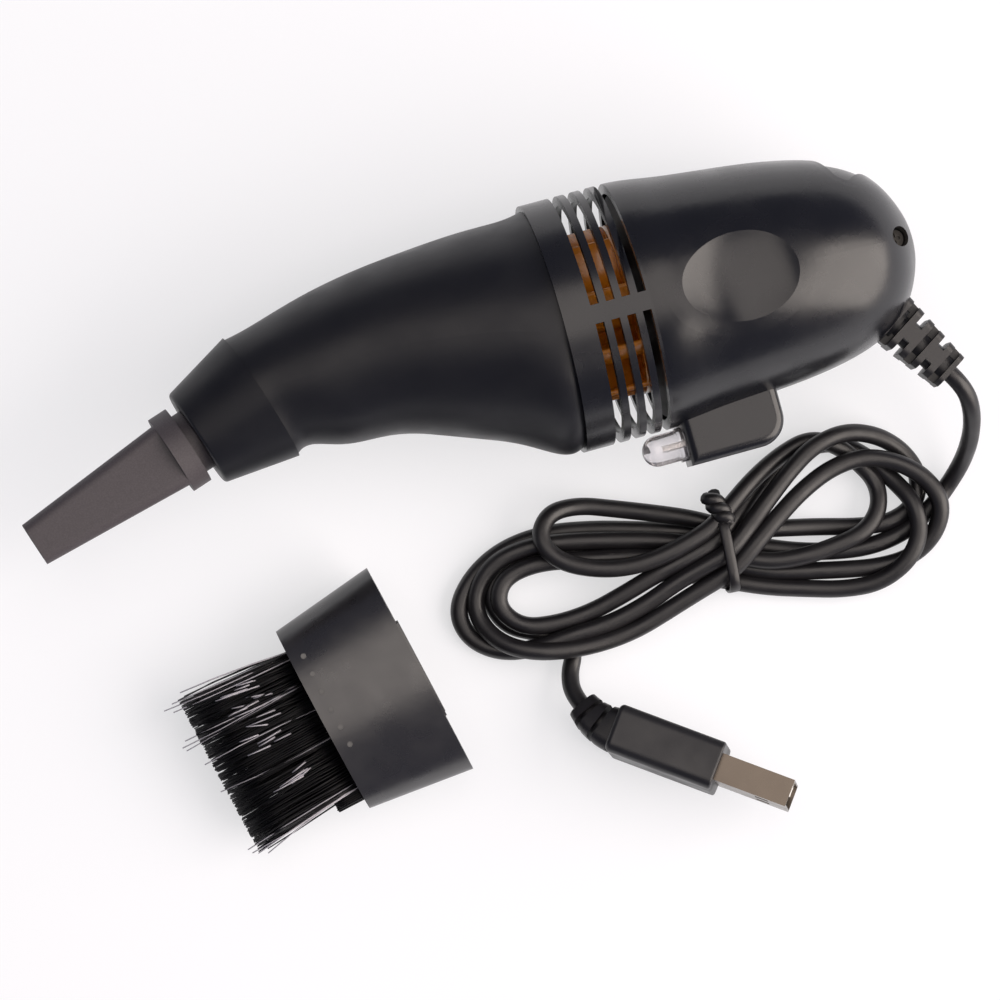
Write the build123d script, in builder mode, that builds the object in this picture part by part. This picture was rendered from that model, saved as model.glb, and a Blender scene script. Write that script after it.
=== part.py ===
from build123d import *
import os
from math import atan2, cos, pi, radians, sin, sqrt, tan

# Desktop mini vacuum cleaner, lying on its left side with its tied cord and its loose brush head.
# Millimetres. +X runs back along the motor axis, +Z is up. The origin is on the table, straight
# below the motor axis, at the side rib of the air vents.

os.makedirs("parts", exist_ok=True)

# ---------------------------------------------------------------- driving dimensions
# Housing: a vent collar that runs back into an egg, in two halves parted at the axis height.
collar_radius = 20.2
housing_wall = 1.6
collar_front = -11.0
egg_front = 3.2
egg_length = 45.1
egg_drop = 1.0  # how far the egg's centre line sinks towards the underside at its rear
# Share of the egg's length, half height over the collar radius, half thickness over it.
egg_stations = (
    (0.15, 0.965, 1.0),
    (0.33, 0.925, 0.9985),
    (0.505, 0.886, 0.975),
    (0.66, 0.827, 0.905),
    (0.783, 0.742, 0.80),
    (0.871, 0.63, 0.665),
    (0.938, 0.47, 0.485),
    (0.984, 0.27, 0.275),
    (1.0, 0.15, 0.155),
)

# Air vents: full rings, bridged by a rib on each side.
vent_count = 4
vent_first = -5.6
vent_pitch = 2.55
vent_width = 1.4
vent_rib = 3.0

# Thumb dimples, one on each side.
dimple_x = 18.6
dimple_length = 20.0
dimple_height = 14.5
dimple_depth = 2.2
dimple_axis = 8.0  # half thickness of the ellipsoid whose cap the dimple is
dimple_flank = 0.92  # half thickness of the egg at the dimple over the collar radius

# Housing screw and its well.
screw_share = 0.9357  # along the egg
screw_y = -0.5
well_radius = 1.65
well_floor = 2.0  # above the parting plane
screw_head_radius = 1.5
screw_head_height = 1.2
screw_shank_radius = 0.8
screw_length = 6.0
screw_cross = 1.8
screw_cross_width = 0.5
boss_wall = 1.1

# Lamp pod and lamp.
pod_front = 4.6
pod_length = 16.2
pod_below = 3.75  # from the lamp's axis to the pod's underside
pod_half_width = 4.8
pod_corner = 4.5
pod_round = 1.6
pod_wall = 1.6
led_radius = 2.5
led_length = 8.6
led_flange = 0.3
led_flange_length = 1.0
led_seat = 1.8  # how deep the lamp stands in the pod
led_gap = 0.05  # between the lamp's flange and the collar
lead_radius = 0.25
lead_length = 6.0
lead_spacing = 2.54
resistor_radius = 0.9
resistor_length = 3.4

# Motor and fan.
shaft_radius = 1.0
shaft_front = -5.6
shaft_length = 33.4
shaft_chamfer = 0.2
running_gap = 0.03
plate_front = 3.2
plate_thickness = 1.4
plate_clearance = 0.5
can_radius = 10.2
can_length = 19.4
can_wall = 0.8
cap_length = 3.0
cap_wall = 0.9
cap_spigot = 2.6
bushing_radius = 2.6
bushing_length = 2.4
magnet_thickness = 1.9
magnet_length = 13.0
magnet_angle = 130.0
air_gap = 0.4
armature_length = 11.0
pole_count = 3
pole_neck = 2.6
pole_shoe = 1.2
pole_gap_angle = 18.0
coil_radius = 5.3
coil_overhang = 0.9
commutator_radius = 2.2
commutator_length = 2.6
commutator_slot = 0.3
commutator_slot_depth = 0.4
brush_block = 1.8
brush_leaf = 0.3
commutator_gap = 0.4
fan_radius = 13.75
fan_length = 7.4
fan_back = 1.0
fan_hub_radius = 3.2
fan_blades = 9
fan_blade_thickness = 0.9
fan_blade_sink = 0.4  # how far each blade's root reaches into the hub
fan_blade_inset = 0.3  # from the fan's edge to the blade's tip
fan_blade_middle = 0.6  # where the blade bends, as a share of the fan's radius
fan_blade_bend = 16.0
fan_blade_sweep = 44.0
fan_gap = 1.4  # between the fan's back and the motor plate
motor_screw_pitch = 8.0
motor_screw_radius = 1.0
motor_screw_head = 1.9
motor_screw_length = 3.4
seat_thickness = 1.2
cradle_x = 20.0
cradle_width = 6.0

# Filter: a rim on a ledge in the collar, and a cloth cone that reaches into the nose.
ledge_front = -7.2
ledge_thickness = 0.7
ledge_width = 1.4  # how far the ledge reaches in under the filter's rim
rim_thickness = 1.5
rim_gap = 0.95  # between the rim and the spigot round it
rim_width = 2.4
cone_length = 11.0
cone_tip_radius = 6.0
cloth_thickness = 0.8
filter_rib = 1.2
filter_ribs = 4

# Front shell: a bent horn from the collar to the nose seam.
shell_wall = 1.5
spigot_length = 3.2
spigot_gap = 0.05
spigot_wall = 1.4
shell_step = 0.9  # how far the collar stands proud of the shell's rear rim
# Distance ahead of the collar, centre above the axis, half height, half thickness, tilt.
shell_stations = (
    (4.5, -0.2, 18.9, 18.9, 0.0),
    (9.0, 1.1, 17.6, 18.0, 0.0),
    (16.0, 2.35, 16.0, 16.6, 1.0),
    (24.0, 3.4, 14.2, 15.0, 2.5),
    (31.5, 3.5, 12.95, 13.6, 6.0),
    (39.5, 2.7, 11.7, 12.2, 12.0),
)
seam_ahead = 47.25
seam_rise = 1.75
seam_half_height = 10.7
seam_half_thickness = 10.75
nose_tilt = 17.9
neck_radius = 8.0
neck_length = 5.0

# Nose ring.
nose_length = 12.1
nose_rear_radius = 11.05
nose_front_radius = 8.2
nose_edge = 0.7
nose_throat = 6.6
nose_face = 3.4  # depth of the nozzle socket

# Nozzle.
socket_gap = 0.05
nozzle_neck_radius = 5.15
nozzle_neck_exposed = 1.6
nozzle_collar_radius = 6.65
nozzle_collar_length = 3.2
nozzle_length = 25.6
nozzle_root_height = 10.9
nozzle_root_thickness = 10.0
nozzle_tip_height = 7.3
nozzle_tip_thickness = 6.6
nozzle_corner = 1.8
nozzle_wall = 1.0

# Switch, in a shallow kite-shaped recess on the top rear slope.
recess_front = 4.6  # ahead of the switch's middle
recess_rear = 5.2  # behind it
recess_side_front = 1.8  # the side corners, ahead of it
recess_side = 12.5
recess_corner = 1.2
recess_depth = 0.7
recess_wall = 1.3
switch_share = 0.8204  # along the egg
switch_rise = 0.6213  # height above the motor axis over the collar radius
switch_slope = -31.0
switch_length = 8.2
switch_width = 5.4
switch_height = 3.4
knob_length = 2.8
knob_width = 4.4
knob_proud = 0.5  # above the recess floor
knob_travel = 2.0
knob_gap = 0.2
knob_ribs = 3
terminal_radius = 0.35
terminal_length = 2.4
terminal_pitch = 2.0

# Strain relief and cord.
cord_diameter = 2.9
relief_share = 0.86253  # along the egg
relief_sink = 0.62376  # depth below the motor axis over the collar radius
relief_heading = -57.8
relief_length = 12.6
relief_neck_radius = 3.0
relief_inner = 4.0
relief_flange_radius = 4.4
relief_flange = 1.4
relief_base_width = 8.6
relief_end_width = 6.3
relief_cuts = 5
relief_first_cut = 1.3
relief_cut_pitch = 2.45
relief_cut = 1.3
relief_core_radius = 2.3
relief_rib = 2.8  # what joins the blocks at each cut, outside the core
wire_diameter = 1.1
wire_gap = 2.0
wire_straight = 2.6

# Plug, standing on its narrow side with its tip held off the table by the stiff cord.
plug_x = -16.7
plug_y = -64.5
plug_heading = -36.2
plug_pitch = 12.0
plug_lean = 2.0
plug_body_length = 18.0
plug_body_width = 15.8
plug_body_thickness = 8.0
plug_body_corner = 1.6
plug_shell_width = 12.0
plug_shell_thickness = 4.5
plug_shell_length = 12.2
plug_shell_wall = 0.3
plug_window = 2.2
plug_window_pitch = 5.0
plug_window_inset = 4.2
plug_tongue_thickness = 1.9
plug_tongue_recess = 0.6
plug_contact_count = 4
plug_contact_width = 1.0
plug_contact_pitch = 2.3
plug_contact_length = 7.6
plug_contact_thickness = 0.15
boot_blocks = (  # each block's length, heading, dip towards the cord, and width where it starts
    (2.3, -40.0, 14.0, 7.4),
    (2.2, -53.0, 20.0, 6.6),
    (2.0, -66.0, 28.0, 5.8),
)
boot_end_width = 5.2
boot_cut = 0.8
boot_core_radius = 2.1

# Brush head, lying with the open end of its oval ferrule towards +X.
brush_x = -61.65
brush_y = -50.3
brush_heading = 12.65
ferrule_length = 17.6
ferrule_wide = 36.4
ferrule_narrow = 32.0
ferrule_wide_height = 18.6
ferrule_narrow_height = 16.0
ferrule_wall = 1.3
ferrule_tab = 16.5
ferrule_tab_proud = 0.35
pit_count = 6
pit_pitch = 3.15
pit_shift = 2.75
pit_radius = 0.45
pit_depth = 0.4
pit_inset = 2.2
plate_depth = 2.4
bristle_length = 18.8
bristle_root_width = 24.5
bristle_tip_width = 27.4
bristle_root_height = 7.0
bristle_tip_height = 6.4
stub_radius = 5.15
stub_wall = 1.1
stub_recess = 4.0

# Hank of tied cord, two lobes across a waist, and its tie.
hank_height = 7.4
hank_edge = 1.2
hank_outline = (
    (8.6, -34.2),
    (-3.0, -30.8),
    (-15.0, -27.2),
    (-27.0, -29.8),
    (-35.8, -36.2),
    (-35.4, -45.2),
    (-25.0, -50.6),
    (-10.0, -51.4),
    (6.8, -47.2),
    (20.0, -51.9),
    (32.0, -54.0),
    (43.4, -48.6),
    (45.2, -41.2),
    (40.3, -31.7),
    (31.0, -26.4),
    (19.5, -28.4),
)
left_eye = ((-26.5, -37.4), (-18.6, -36.6), (-9.2, -41.2), (-18.0, -43.6), (-26.0, -41.4))
right_eye = ((20.4, -38.8), (26.8, -35.5), (33.3, -36.0), (32.6, -42.0), (26.0, -41.0))
tie_x = 8.2
tie_y = -40.7
tie_reach = 14.8
tie_width = 1.8
tie_thickness = 0.9
tie_proud = 0.6
knot_radius = 1.5
knot_length = 5.0
knot_heading = 128.0

# Route of the cord from its strain relief to the hank, and from the hank to the plug's boot. It
# leaves both of them straight for a short way.
lead_start = 3.4
lead_route = (
    (51.4, -30.2, 17.0),
    (51.2, -34.2, 10.6),
    (49.9, -37.6, 4.9),
    (47.4, -40.6, 1.45),
    (43.6, -43.6, 1.45),
)
tail_route = (
    (-18.7, -46.8, 1.45),
    (-19.0, -50.2, 1.45),
    (-21.0, -53.8, 2.5),
)
tail_finish = 2.4

# ---------------------------------------------------------------- derived values and planes
axis_height = collar_radius
collar_inner = collar_radius - housing_wall
shell_rear_radius = collar_radius - shell_step
rim_radius = collar_inner - spigot_gap - spigot_wall - rim_gap
ledge_radius = rim_radius - ledge_width
led_drop = collar_radius + led_radius + led_flange + led_gap  # from the motor axis to the lamp's
pod_reach = led_drop + pod_below
screw_x = egg_front + screw_share * egg_length
switch_x = egg_front + switch_share * egg_length
relief_x = egg_front + relief_share * egg_length
parting = Plane.XY.offset(axis_height)
cord_radius = cord_diameter / 2


def motor_plane(x):
    """Plane across the motor axis at x, its local X along +Y and its local Y up."""
    return Plane(origin=(x, 0, axis_height), x_dir=(0, 1, 0), z_dir=(1, 0, 0))


def egg_plane(share):
    """Plane across the egg, so far along it, its local X up."""
    return Plane(
        origin=(egg_front + share * egg_length, -egg_drop * share, axis_height),
        x_dir=(0, 0, 1),
        z_dir=(1, 0, 0),
    )


def nose_way(tilt):
    """Unit direction forwards, turned down to the underside by tilt degrees."""
    return Vector(-cos(radians(tilt)), -sin(radians(tilt)), 0)


def shell_plane(ahead, rise, tilt):
    """Plane across the front shell, so far ahead of the collar's front edge, its local X up."""
    return Plane(
        origin=(collar_front - ahead, rise, axis_height), x_dir=(0, 0, 1), z_dir=nose_way(tilt)
    )


def nose_plane(distance):
    """Plane across the nose and nozzle, so far ahead of the nose seam."""
    seam = shell_plane(seam_ahead, seam_rise, nose_tilt)
    return seam.offset(distance)


def heading(angle):
    return Vector(cos(radians(angle)), sin(radians(angle)), 0)


def outwards(plane):
    return Axis(plane.origin, plane.z_dir)


def arc_radii(points):
    """Radius for each corner: 0.45 of the shorter run over the tangent of half the turn."""
    found = []
    for before, corner, after in zip(points, points[1:], points[2:]):
        run_in = Vector(*corner) - Vector(*before)
        run_out = Vector(*after) - Vector(*corner)
        turn = radians(run_in.get_angle(run_out))
        found.append(0.45 * min(run_in.length, run_out.length) / tan(turn / 2))
    return found


# ---------------------------------------------------------------- housing
def housing_form(inset):
    """Solid of the housing's outside, sunk all round by inset."""
    with BuildPart() as form:
        with BuildSketch(motor_plane(collar_front)):
            Circle(collar_radius - inset)
        extrude(amount=egg_front - collar_front)
        with BuildSketch(egg_plane(0)):
            Circle(collar_radius - inset)
        for share, height_share, thickness_share in egg_stations:
            half_height = collar_radius * height_share - inset
            if half_height < 3 * inset:
                continue
            with BuildSketch(egg_plane(share)):
                Ellipse(collar_radius * thickness_share - inset, half_height)
        loft()
    return form.part


housing_outside = housing_form(0)
housing_inside = housing_form(housing_wall)

pod_back = pod_front + pod_length
with BuildPart() as pod_outside:
    with BuildSketch(parting.offset(-pod_half_width)) as pod_profile:
        with BuildLine():
            Polyline(
                (pod_front, 0),
                (pod_front, -pod_reach),
                (pod_back, -pod_reach),
                (pod_back, 0),
                close=True,
            )
        make_face()
        fillet(pod_profile.vertices().sort_by(Axis.Y)[:2].sort_by(Axis.X)[-1], pod_corner)
    extrude(amount=2 * pod_half_width)
    low_edges = pod_outside.faces().filter_by(Axis.Z).edges()
    fillet(low_edges.filter_by(lambda edge: edge.center().Y < -collar_inner / 2), pod_round)

with BuildPart() as pod_inside:
    with BuildSketch(parting.offset(pod_wall - pod_half_width)) as pod_room:
        with BuildLine():
            Polyline(
                (pod_front + pod_wall, -collar_inner / 2),
                (pod_front + pod_wall, pod_wall - pod_reach),
                (pod_back - pod_wall, pod_wall - pod_reach),
                (pod_back - pod_wall, -collar_inner / 2),
                close=True,
            )
        make_face()
        fillet(pod_room.vertices().sort_by(Axis.Y)[:2].sort_by(Axis.X)[-1], pod_corner - pod_wall)
    extrude(amount=2 * (pod_half_width - pod_wall))

# The dimple is a shallow cap of an ellipsoid that is sized from the dimple's own oval.
dimple_lift = dimple_axis - dimple_depth
flank = collar_radius * dimple_flank
dimple_sink = flank - (flank**2 - (dimple_height / 2) ** 2) ** 0.5
dimple_half_x = dimple_length / 2 / (1 - (dimple_lift / dimple_axis) ** 2) ** 0.5
dimple_half_y = dimple_height / 2 / (1 - ((dimple_lift + dimple_sink) / dimple_axis) ** 2) ** 0.5
with BuildPart() as dimple_cutter:
    Sphere(1)
    scale(by=(dimple_half_x, dimple_half_y, dimple_axis))
with BuildPart() as dimple_backing:
    Sphere(1)
    scale(by=(dimple_half_x + housing_wall, dimple_half_y + housing_wall, dimple_axis + housing_wall))
dimple_places = [
    (dimple_x, 0, axis_height + side * (collar_radius + dimple_lift)) for side in (-1, 1)
]

recess_points = (
    (switch_x - recess_front, 0),
    (switch_x - recess_side_front, -recess_side),
    (switch_x + recess_rear, 0),
    (switch_x - recess_side_front, recess_side),
)


def recess_window(margin):
    """Prism over the recess, wider all round by margin."""
    with BuildPart() as prism:
        with BuildSketch(Plane(origin=(0, 0, axis_height), x_dir=(1, 0, 0), z_dir=(0, 1, 0))) as kite:
            with BuildLine():
                Polyline(*recess_points, close=True)
            make_face()
            offset(amount=margin, kind=Kind.INTERSECTION)
            fillet(kite.vertices(), recess_corner + margin)
        extrude(amount=collar_radius)
    return prism.part


switch_plane = Plane(
    origin=(switch_x, switch_rise * collar_radius, axis_height),
    x_dir=heading(switch_slope),
    z_dir=heading(switch_slope + 90),
)

relief_way = heading(relief_heading)
relief_plane = Plane(
    origin=(relief_x, -relief_sink * collar_radius, axis_height), x_dir=(0, 0, 1), z_dir=relief_way
)
recess_floor = switch_plane.offset(-recess_depth)
switch_top = recess_floor.offset(-recess_wall)
slot_length = knob_length + knob_travel + 2 * knob_gap
slot_width = knob_width + 2 * knob_gap

with BuildPart() as inner_works:
    # The ledge that the filter's rim sits on.
    with BuildSketch(motor_plane(ledge_front)):
        Circle(collar_radius - housing_wall / 2)
        Circle(ledge_radius, mode=Mode.SUBTRACT)
    extrude(amount=ledge_thickness)
    # The ring behind the motor plate.
    with BuildSketch(motor_plane(plate_front + plate_thickness)):
        Circle(collar_radius - housing_wall / 2)
        Circle(can_radius + running_gap, mode=Mode.SUBTRACT)
    extrude(amount=seat_thickness)
    # The cradle across the motor's rear.
    with BuildSketch(motor_plane(cradle_x)):
        Rectangle(cradle_width, 2 * collar_radius)
        Circle(can_radius + running_gap, mode=Mode.SUBTRACT)
    extrude(amount=seat_thickness)
    # The boss round the housing screw.
    with BuildSketch(parting.offset(-collar_radius)):
        with Locations((screw_x, screw_y)):
            Circle(well_radius + boss_wall)
    extrude(amount=2 * collar_radius)
    # Backing for the dimples.
    with Locations(*dimple_places):
        add(dimple_backing.part)
    # Backing round the cord's hole.
    with BuildSketch(relief_plane.offset(-relief_inner + relief_flange)):
        Circle(relief_flange_radius)
    extrude(amount=relief_inner)
    add(housing_outside, mode=Mode.INTERSECT)

with BuildPart() as recess_backing:
    add(recess_window(recess_wall))
    add(housing_outside, mode=Mode.INTERSECT)
    add(housing_form(recess_depth + recess_wall), mode=Mode.SUBTRACT)

with BuildPart() as recess_cutter:
    add(recess_window(0))
    add(housing_form(recess_depth), mode=Mode.SUBTRACT)

with BuildPart() as housing_body:
    add(housing_outside)
    add(pod_outside.part)
    add(housing_inside, mode=Mode.SUBTRACT)
    add(pod_inside.part, mode=Mode.SUBTRACT)
    add(inner_works.part)
    add(recess_backing.part)
    add(recess_cutter.part, mode=Mode.SUBTRACT)
    with Locations(*dimple_places):
        add(dimple_cutter.part, mode=Mode.SUBTRACT)
    for index in range(vent_count):
        with BuildSketch(motor_plane(vent_first + index * vent_pitch - vent_width / 2)):
            Circle(collar_radius + housing_wall)
            Rectangle(vent_rib, 3 * collar_radius, mode=Mode.SUBTRACT)
        extrude(amount=vent_width, mode=Mode.SUBTRACT)
    # The switch's seat, and the slot that its knob slides in.
    with BuildSketch(switch_top):
        Rectangle(switch_length, switch_width)
    extrude(amount=-recess_wall, mode=Mode.SUBTRACT)
    with BuildSketch(switch_top):
        Rectangle(slot_length, slot_width)
    extrude(amount=recess_wall + recess_depth + knob_proud, mode=Mode.SUBTRACT)
    with BuildSketch(motor_plane(pod_front)):
        with Locations((-led_drop, 0)):
            Circle(led_radius)
    extrude(amount=2 * pod_wall, mode=Mode.SUBTRACT)
    with BuildSketch(relief_plane.offset(-relief_inner - relief_flange)):
        Circle(relief_neck_radius)
    extrude(amount=relief_inner + 3 * relief_flange, mode=Mode.SUBTRACT)
    with BuildSketch(relief_plane.offset(-relief_inner)):
        Circle(relief_flange_radius)
    extrude(amount=relief_flange, mode=Mode.SUBTRACT)

with BuildPart() as housing_left:
    add(housing_body.part)
    with BuildSketch(parting.offset(well_floor)):
        with Locations((screw_x, screw_y)):
            Circle(well_radius)
    extrude(amount=collar_radius, mode=Mode.SUBTRACT)
    with BuildSketch(parting):
        with Locations((screw_x, screw_y)):
            Circle(screw_shank_radius)
    extrude(amount=well_floor, mode=Mode.SUBTRACT)
    split(bisect_by=parting, keep=Keep.TOP)
housing_left.part.label = "housing_left"
export_step(housing_left.part, "parts/housing_left.step")

with BuildPart() as housing_right:
    add(housing_body.part)
    with BuildSketch(parting.offset(well_floor - screw_length)):
        with Locations((screw_x, screw_y)):
            Circle(screw_shank_radius)
    extrude(amount=screw_length, mode=Mode.SUBTRACT)
    split(bisect_by=parting, keep=Keep.BOTTOM)
housing_right.part.label = "housing_right"
export_step(housing_right.part, "parts/housing_right.step")

with BuildPart() as housing_screw:
    with BuildSketch(parting.offset(well_floor - screw_length)):
        with Locations((screw_x, screw_y)):
            Circle(screw_shank_radius)
    extrude(amount=screw_length)
    with BuildSketch(parting.offset(well_floor)):
        with Locations((screw_x, screw_y)):
            Circle(screw_head_radius)
    extrude(amount=screw_head_height)
    with BuildSketch(parting.offset(well_floor + screw_head_height)):
        with Locations((screw_x, screw_y)):
            Rectangle(screw_cross, screw_cross_width)
            Rectangle(screw_cross_width, screw_cross)
    extrude(amount=-screw_head_height / 2, mode=Mode.SUBTRACT)
housing_screw.part.label = "housing_screw"
export_step(housing_screw.part, "parts/housing_screw.step")

# ---------------------------------------------------------------- motor
with BuildPart() as motor_mount:
    with BuildSketch(motor_plane(plate_front)):
        Circle(collar_inner - plate_clearance)
        Circle(bushing_radius, mode=Mode.SUBTRACT)
        with Locations((-motor_screw_pitch, 0), (motor_screw_pitch, 0)):
            Circle(motor_screw_radius, mode=Mode.SUBTRACT)
    extrude(amount=plate_thickness)
motor_mount.part.label = "motor_mount"
export_step(motor_mount.part, "parts/motor_mount.step")

can_front = plate_front + plate_thickness
with BuildPart() as motor_can:
    with BuildSketch(motor_plane(can_front)):
        Circle(can_radius)
    extrude(amount=can_length)
    with BuildSketch(motor_plane(can_front + can_wall)):
        Circle(can_radius - can_wall)
    extrude(amount=can_length, mode=Mode.SUBTRACT)
    with BuildSketch(motor_plane(can_front)):
        Circle(bushing_radius)
        with Locations((-motor_screw_pitch, 0), (motor_screw_pitch, 0)):
            Circle(motor_screw_radius)
    extrude(amount=can_wall, mode=Mode.SUBTRACT)
motor_can.part.label = "motor_can"
export_step(motor_can.part, "parts/motor_can.step")

with BuildPart() as motor_screws:
    for side in (-motor_screw_pitch, motor_screw_pitch):
        with BuildSketch(motor_plane(plate_front)):
            with Locations((side, 0)):
                Circle(motor_screw_radius)
        extrude(amount=motor_screw_length - plate_thickness)
        with BuildSketch(motor_plane(plate_front)):
            with Locations((side, 0)):
                Circle(motor_screw_head)
        extrude(amount=-fan_gap / 2)
motor_screws.part.label = "motor_screws"
export_step(motor_screws.part, "parts/motor_screws.step")

magnet_front = can_front + can_wall + bushing_length
magnet_inner = can_radius - can_wall - magnet_thickness
with BuildPart() as motor_magnets:
    with BuildSketch(motor_plane(magnet_front)):
        Circle(can_radius - can_wall)
        Circle(magnet_inner, mode=Mode.SUBTRACT)
        for side in (90, 270):
            gap_half = (180 - magnet_angle) / 2
            low = Vector(2 * can_radius, 0).rotate(Axis.Z, side - gap_half)
            high = Vector(2 * can_radius, 0).rotate(Axis.Z, side + gap_half)
            with BuildLine():
                Polyline((0, 0), (low.X, low.Y), (high.X, high.Y), close=True)
            make_face(mode=Mode.SUBTRACT)
    extrude(amount=magnet_length)
motor_magnets.part.label = "motor_magnets"
export_step(motor_magnets.part, "parts/motor_magnets.step")

cap_front = can_front + can_length
with BuildPart() as motor_end_cap:
    with BuildSketch(motor_plane(cap_front)):
        Circle(can_radius)
    extrude(amount=cap_length)
    with BuildSketch(motor_plane(cap_front)):
        Circle(can_radius - can_wall - cap_wall)
    extrude(amount=cap_length - cap_wall, mode=Mode.SUBTRACT)
    with BuildSketch(motor_plane(cap_front - cap_spigot)):
        Circle(can_radius - can_wall)
        Circle(can_radius - can_wall - cap_wall, mode=Mode.SUBTRACT)
    extrude(amount=cap_spigot)
    with BuildSketch(motor_plane(cap_front + cap_length - bushing_length)):
        Circle(bushing_radius + cap_wall)
    extrude(amount=bushing_length)
    with BuildSketch(motor_plane(cap_front)):
        Circle(bushing_radius)
    extrude(amount=2 * cap_length, mode=Mode.SUBTRACT)
motor_end_cap.part.label = "motor_end_cap"
export_step(motor_end_cap.part, "parts/motor_end_cap.step")

with BuildPart() as motor_bushings:
    for front in (can_front, cap_front + cap_length - bushing_length):
        with BuildSketch(motor_plane(front)):
            Circle(bushing_radius)
            Circle(shaft_radius + running_gap, mode=Mode.SUBTRACT)
        extrude(amount=bushing_length)
    with BuildSketch(motor_plane(plate_front)):
        Circle(bushing_radius)
        Circle(shaft_radius + running_gap, mode=Mode.SUBTRACT)
    extrude(amount=plate_thickness)
motor_bushings.part.label = "motor_bushings"
export_step(motor_bushings.part, "parts/motor_bushings.step")

armature_radius = magnet_inner - air_gap
armature_front = magnet_front + (magnet_length - armature_length) / 2
commutator_front = cap_front + cap_length - bushing_length - commutator_length - commutator_gap

with BuildPart() as motor_shaft:
    with BuildSketch(motor_plane(shaft_front)):
        Circle(shaft_radius)
    extrude(amount=shaft_length)
    chamfer(motor_shaft.edges().filter_by(GeomType.CIRCLE), shaft_chamfer)
motor_shaft.part.label = "motor_shaft"
export_step(motor_shaft.part, "parts/motor_shaft.step")

with BuildPart() as armature:
    with BuildSketch(motor_plane(armature_front)):
        Circle(armature_radius)
        Circle(armature_radius - pole_shoe, mode=Mode.SUBTRACT)
        for pole in range(pole_count):
            middle = (pole + 0.5) * 360 / pole_count
            low = Vector(2 * can_radius, 0).rotate(Axis.Z, middle - pole_gap_angle / 2)
            high = Vector(2 * can_radius, 0).rotate(Axis.Z, middle + pole_gap_angle / 2)
            with BuildLine():
                Polyline((0, 0), (low.X, low.Y), (high.X, high.Y), close=True)
            make_face(mode=Mode.SUBTRACT)
        with PolarLocations(armature_radius / 2, pole_count):
            Rectangle(armature_radius - pole_shoe / 2, pole_neck)
        Circle(shaft_radius + pole_shoe)
        Circle(shaft_radius, mode=Mode.SUBTRACT)
    extrude(amount=armature_length)
armature.part.label = "armature"
export_step(armature.part, "parts/armature.step")

with BuildPart() as armature_coils:
    with BuildSketch(motor_plane(armature_front - coil_overhang)):
        Circle(coil_radius)
        Circle(shaft_radius + pole_shoe, mode=Mode.SUBTRACT)
    extrude(amount=armature_length + 2 * coil_overhang)
    add(armature.part, mode=Mode.SUBTRACT)
armature_coils.part.label = "armature_coils"
export_step(armature_coils.part, "parts/armature_coils.step")

with BuildPart() as commutator:
    with BuildSketch(motor_plane(commutator_front)):
        Circle(commutator_radius)
        with PolarLocations(commutator_radius, pole_count, start_angle=180 / pole_count):
            Rectangle(2 * commutator_slot_depth, commutator_slot, mode=Mode.SUBTRACT)
        Circle(shaft_radius, mode=Mode.SUBTRACT)
    extrude(amount=commutator_length)
commutator.part.label = "commutator"
export_step(commutator.part, "parts/commutator.step")

brush_foot = commutator_radius + running_gap
with BuildPart() as motor_brushes:
    with BuildSketch(motor_plane(commutator_front + (commutator_length - brush_block) / 2)):
        with Locations((0, -brush_foot - brush_block / 2), (0, brush_foot + brush_block / 2)):
            Rectangle(brush_block, brush_block)
        # Each carbon block sits on a leaf that spans the end cap's spigot.
        with Locations((0, -brush_foot - brush_block), (0, brush_foot + brush_block)):
            Rectangle(2 * can_radius, brush_leaf)
        Circle(can_radius - can_wall - cap_wall, mode=Mode.INTERSECT)
    extrude(amount=brush_block)
motor_brushes.part.label = "motor_brushes"
export_step(motor_brushes.part, "parts/motor_brushes.step")

# ---------------------------------------------------------------- fan
fan_rear = plate_front - fan_gap
with BuildPart() as impeller:
    with BuildSketch(motor_plane(fan_rear - fan_back)):
        Circle(fan_radius)
    extrude(amount=fan_back)
    with BuildSketch(motor_plane(fan_rear - fan_length)):
        Circle(fan_hub_radius)
    extrude(amount=fan_length)
    with BuildSketch(motor_plane(fan_rear - fan_length)):
        for blade in range(fan_blades):
            turn = blade * 360 / fan_blades
            root = Vector(fan_hub_radius - fan_blade_sink, 0).rotate(Axis.Z, turn)
            bend = Vector(fan_radius * fan_blade_middle, 0).rotate(Axis.Z, turn - fan_blade_bend)
            tip = Vector(fan_radius - fan_blade_inset, 0).rotate(Axis.Z, turn - fan_blade_sweep)
            with BuildLine():
                ThreePointArc((root.X, root.Y), (bend.X, bend.Y), (tip.X, tip.Y))
                offset(amount=fan_blade_thickness / 2)
            make_face()
    extrude(amount=fan_length - fan_back)
    with BuildSketch(motor_plane(fan_rear - fan_length)):
        Circle(shaft_radius)
    extrude(amount=2 * fan_length, mode=Mode.SUBTRACT)
impeller.part.label = "impeller"
export_step(impeller.part, "parts/impeller.step")

# ---------------------------------------------------------------- lamp
lamp_tip = pod_front + led_seat - led_length
with BuildPart() as led_lens:
    with BuildSketch(motor_plane(lamp_tip + led_radius)):
        with Locations((-led_drop, 0)):
            Circle(led_radius)
    extrude(amount=led_length - led_radius)
    with BuildSketch(motor_plane(pod_front - led_flange_length)):
        with Locations((-led_drop, 0)):
            Circle(led_radius + led_flange)
    extrude(amount=led_flange_length)
    with Locations((lamp_tip + led_radius, -led_drop, axis_height)):
        Sphere(led_radius)
led_lens.part.label = "led_lens"
export_step(led_lens.part, "parts/led_lens.step")

lead_front = pod_front + led_seat
with BuildPart() as led_leads:
    with BuildSketch(motor_plane(lead_front)):
        with Locations((-led_drop, -lead_spacing / 2), (-led_drop, lead_spacing / 2)):
            Circle(lead_radius)
    extrude(amount=lead_length)
led_leads.part.label = "led_leads"
export_step(led_leads.part, "parts/led_leads.step")

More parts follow.
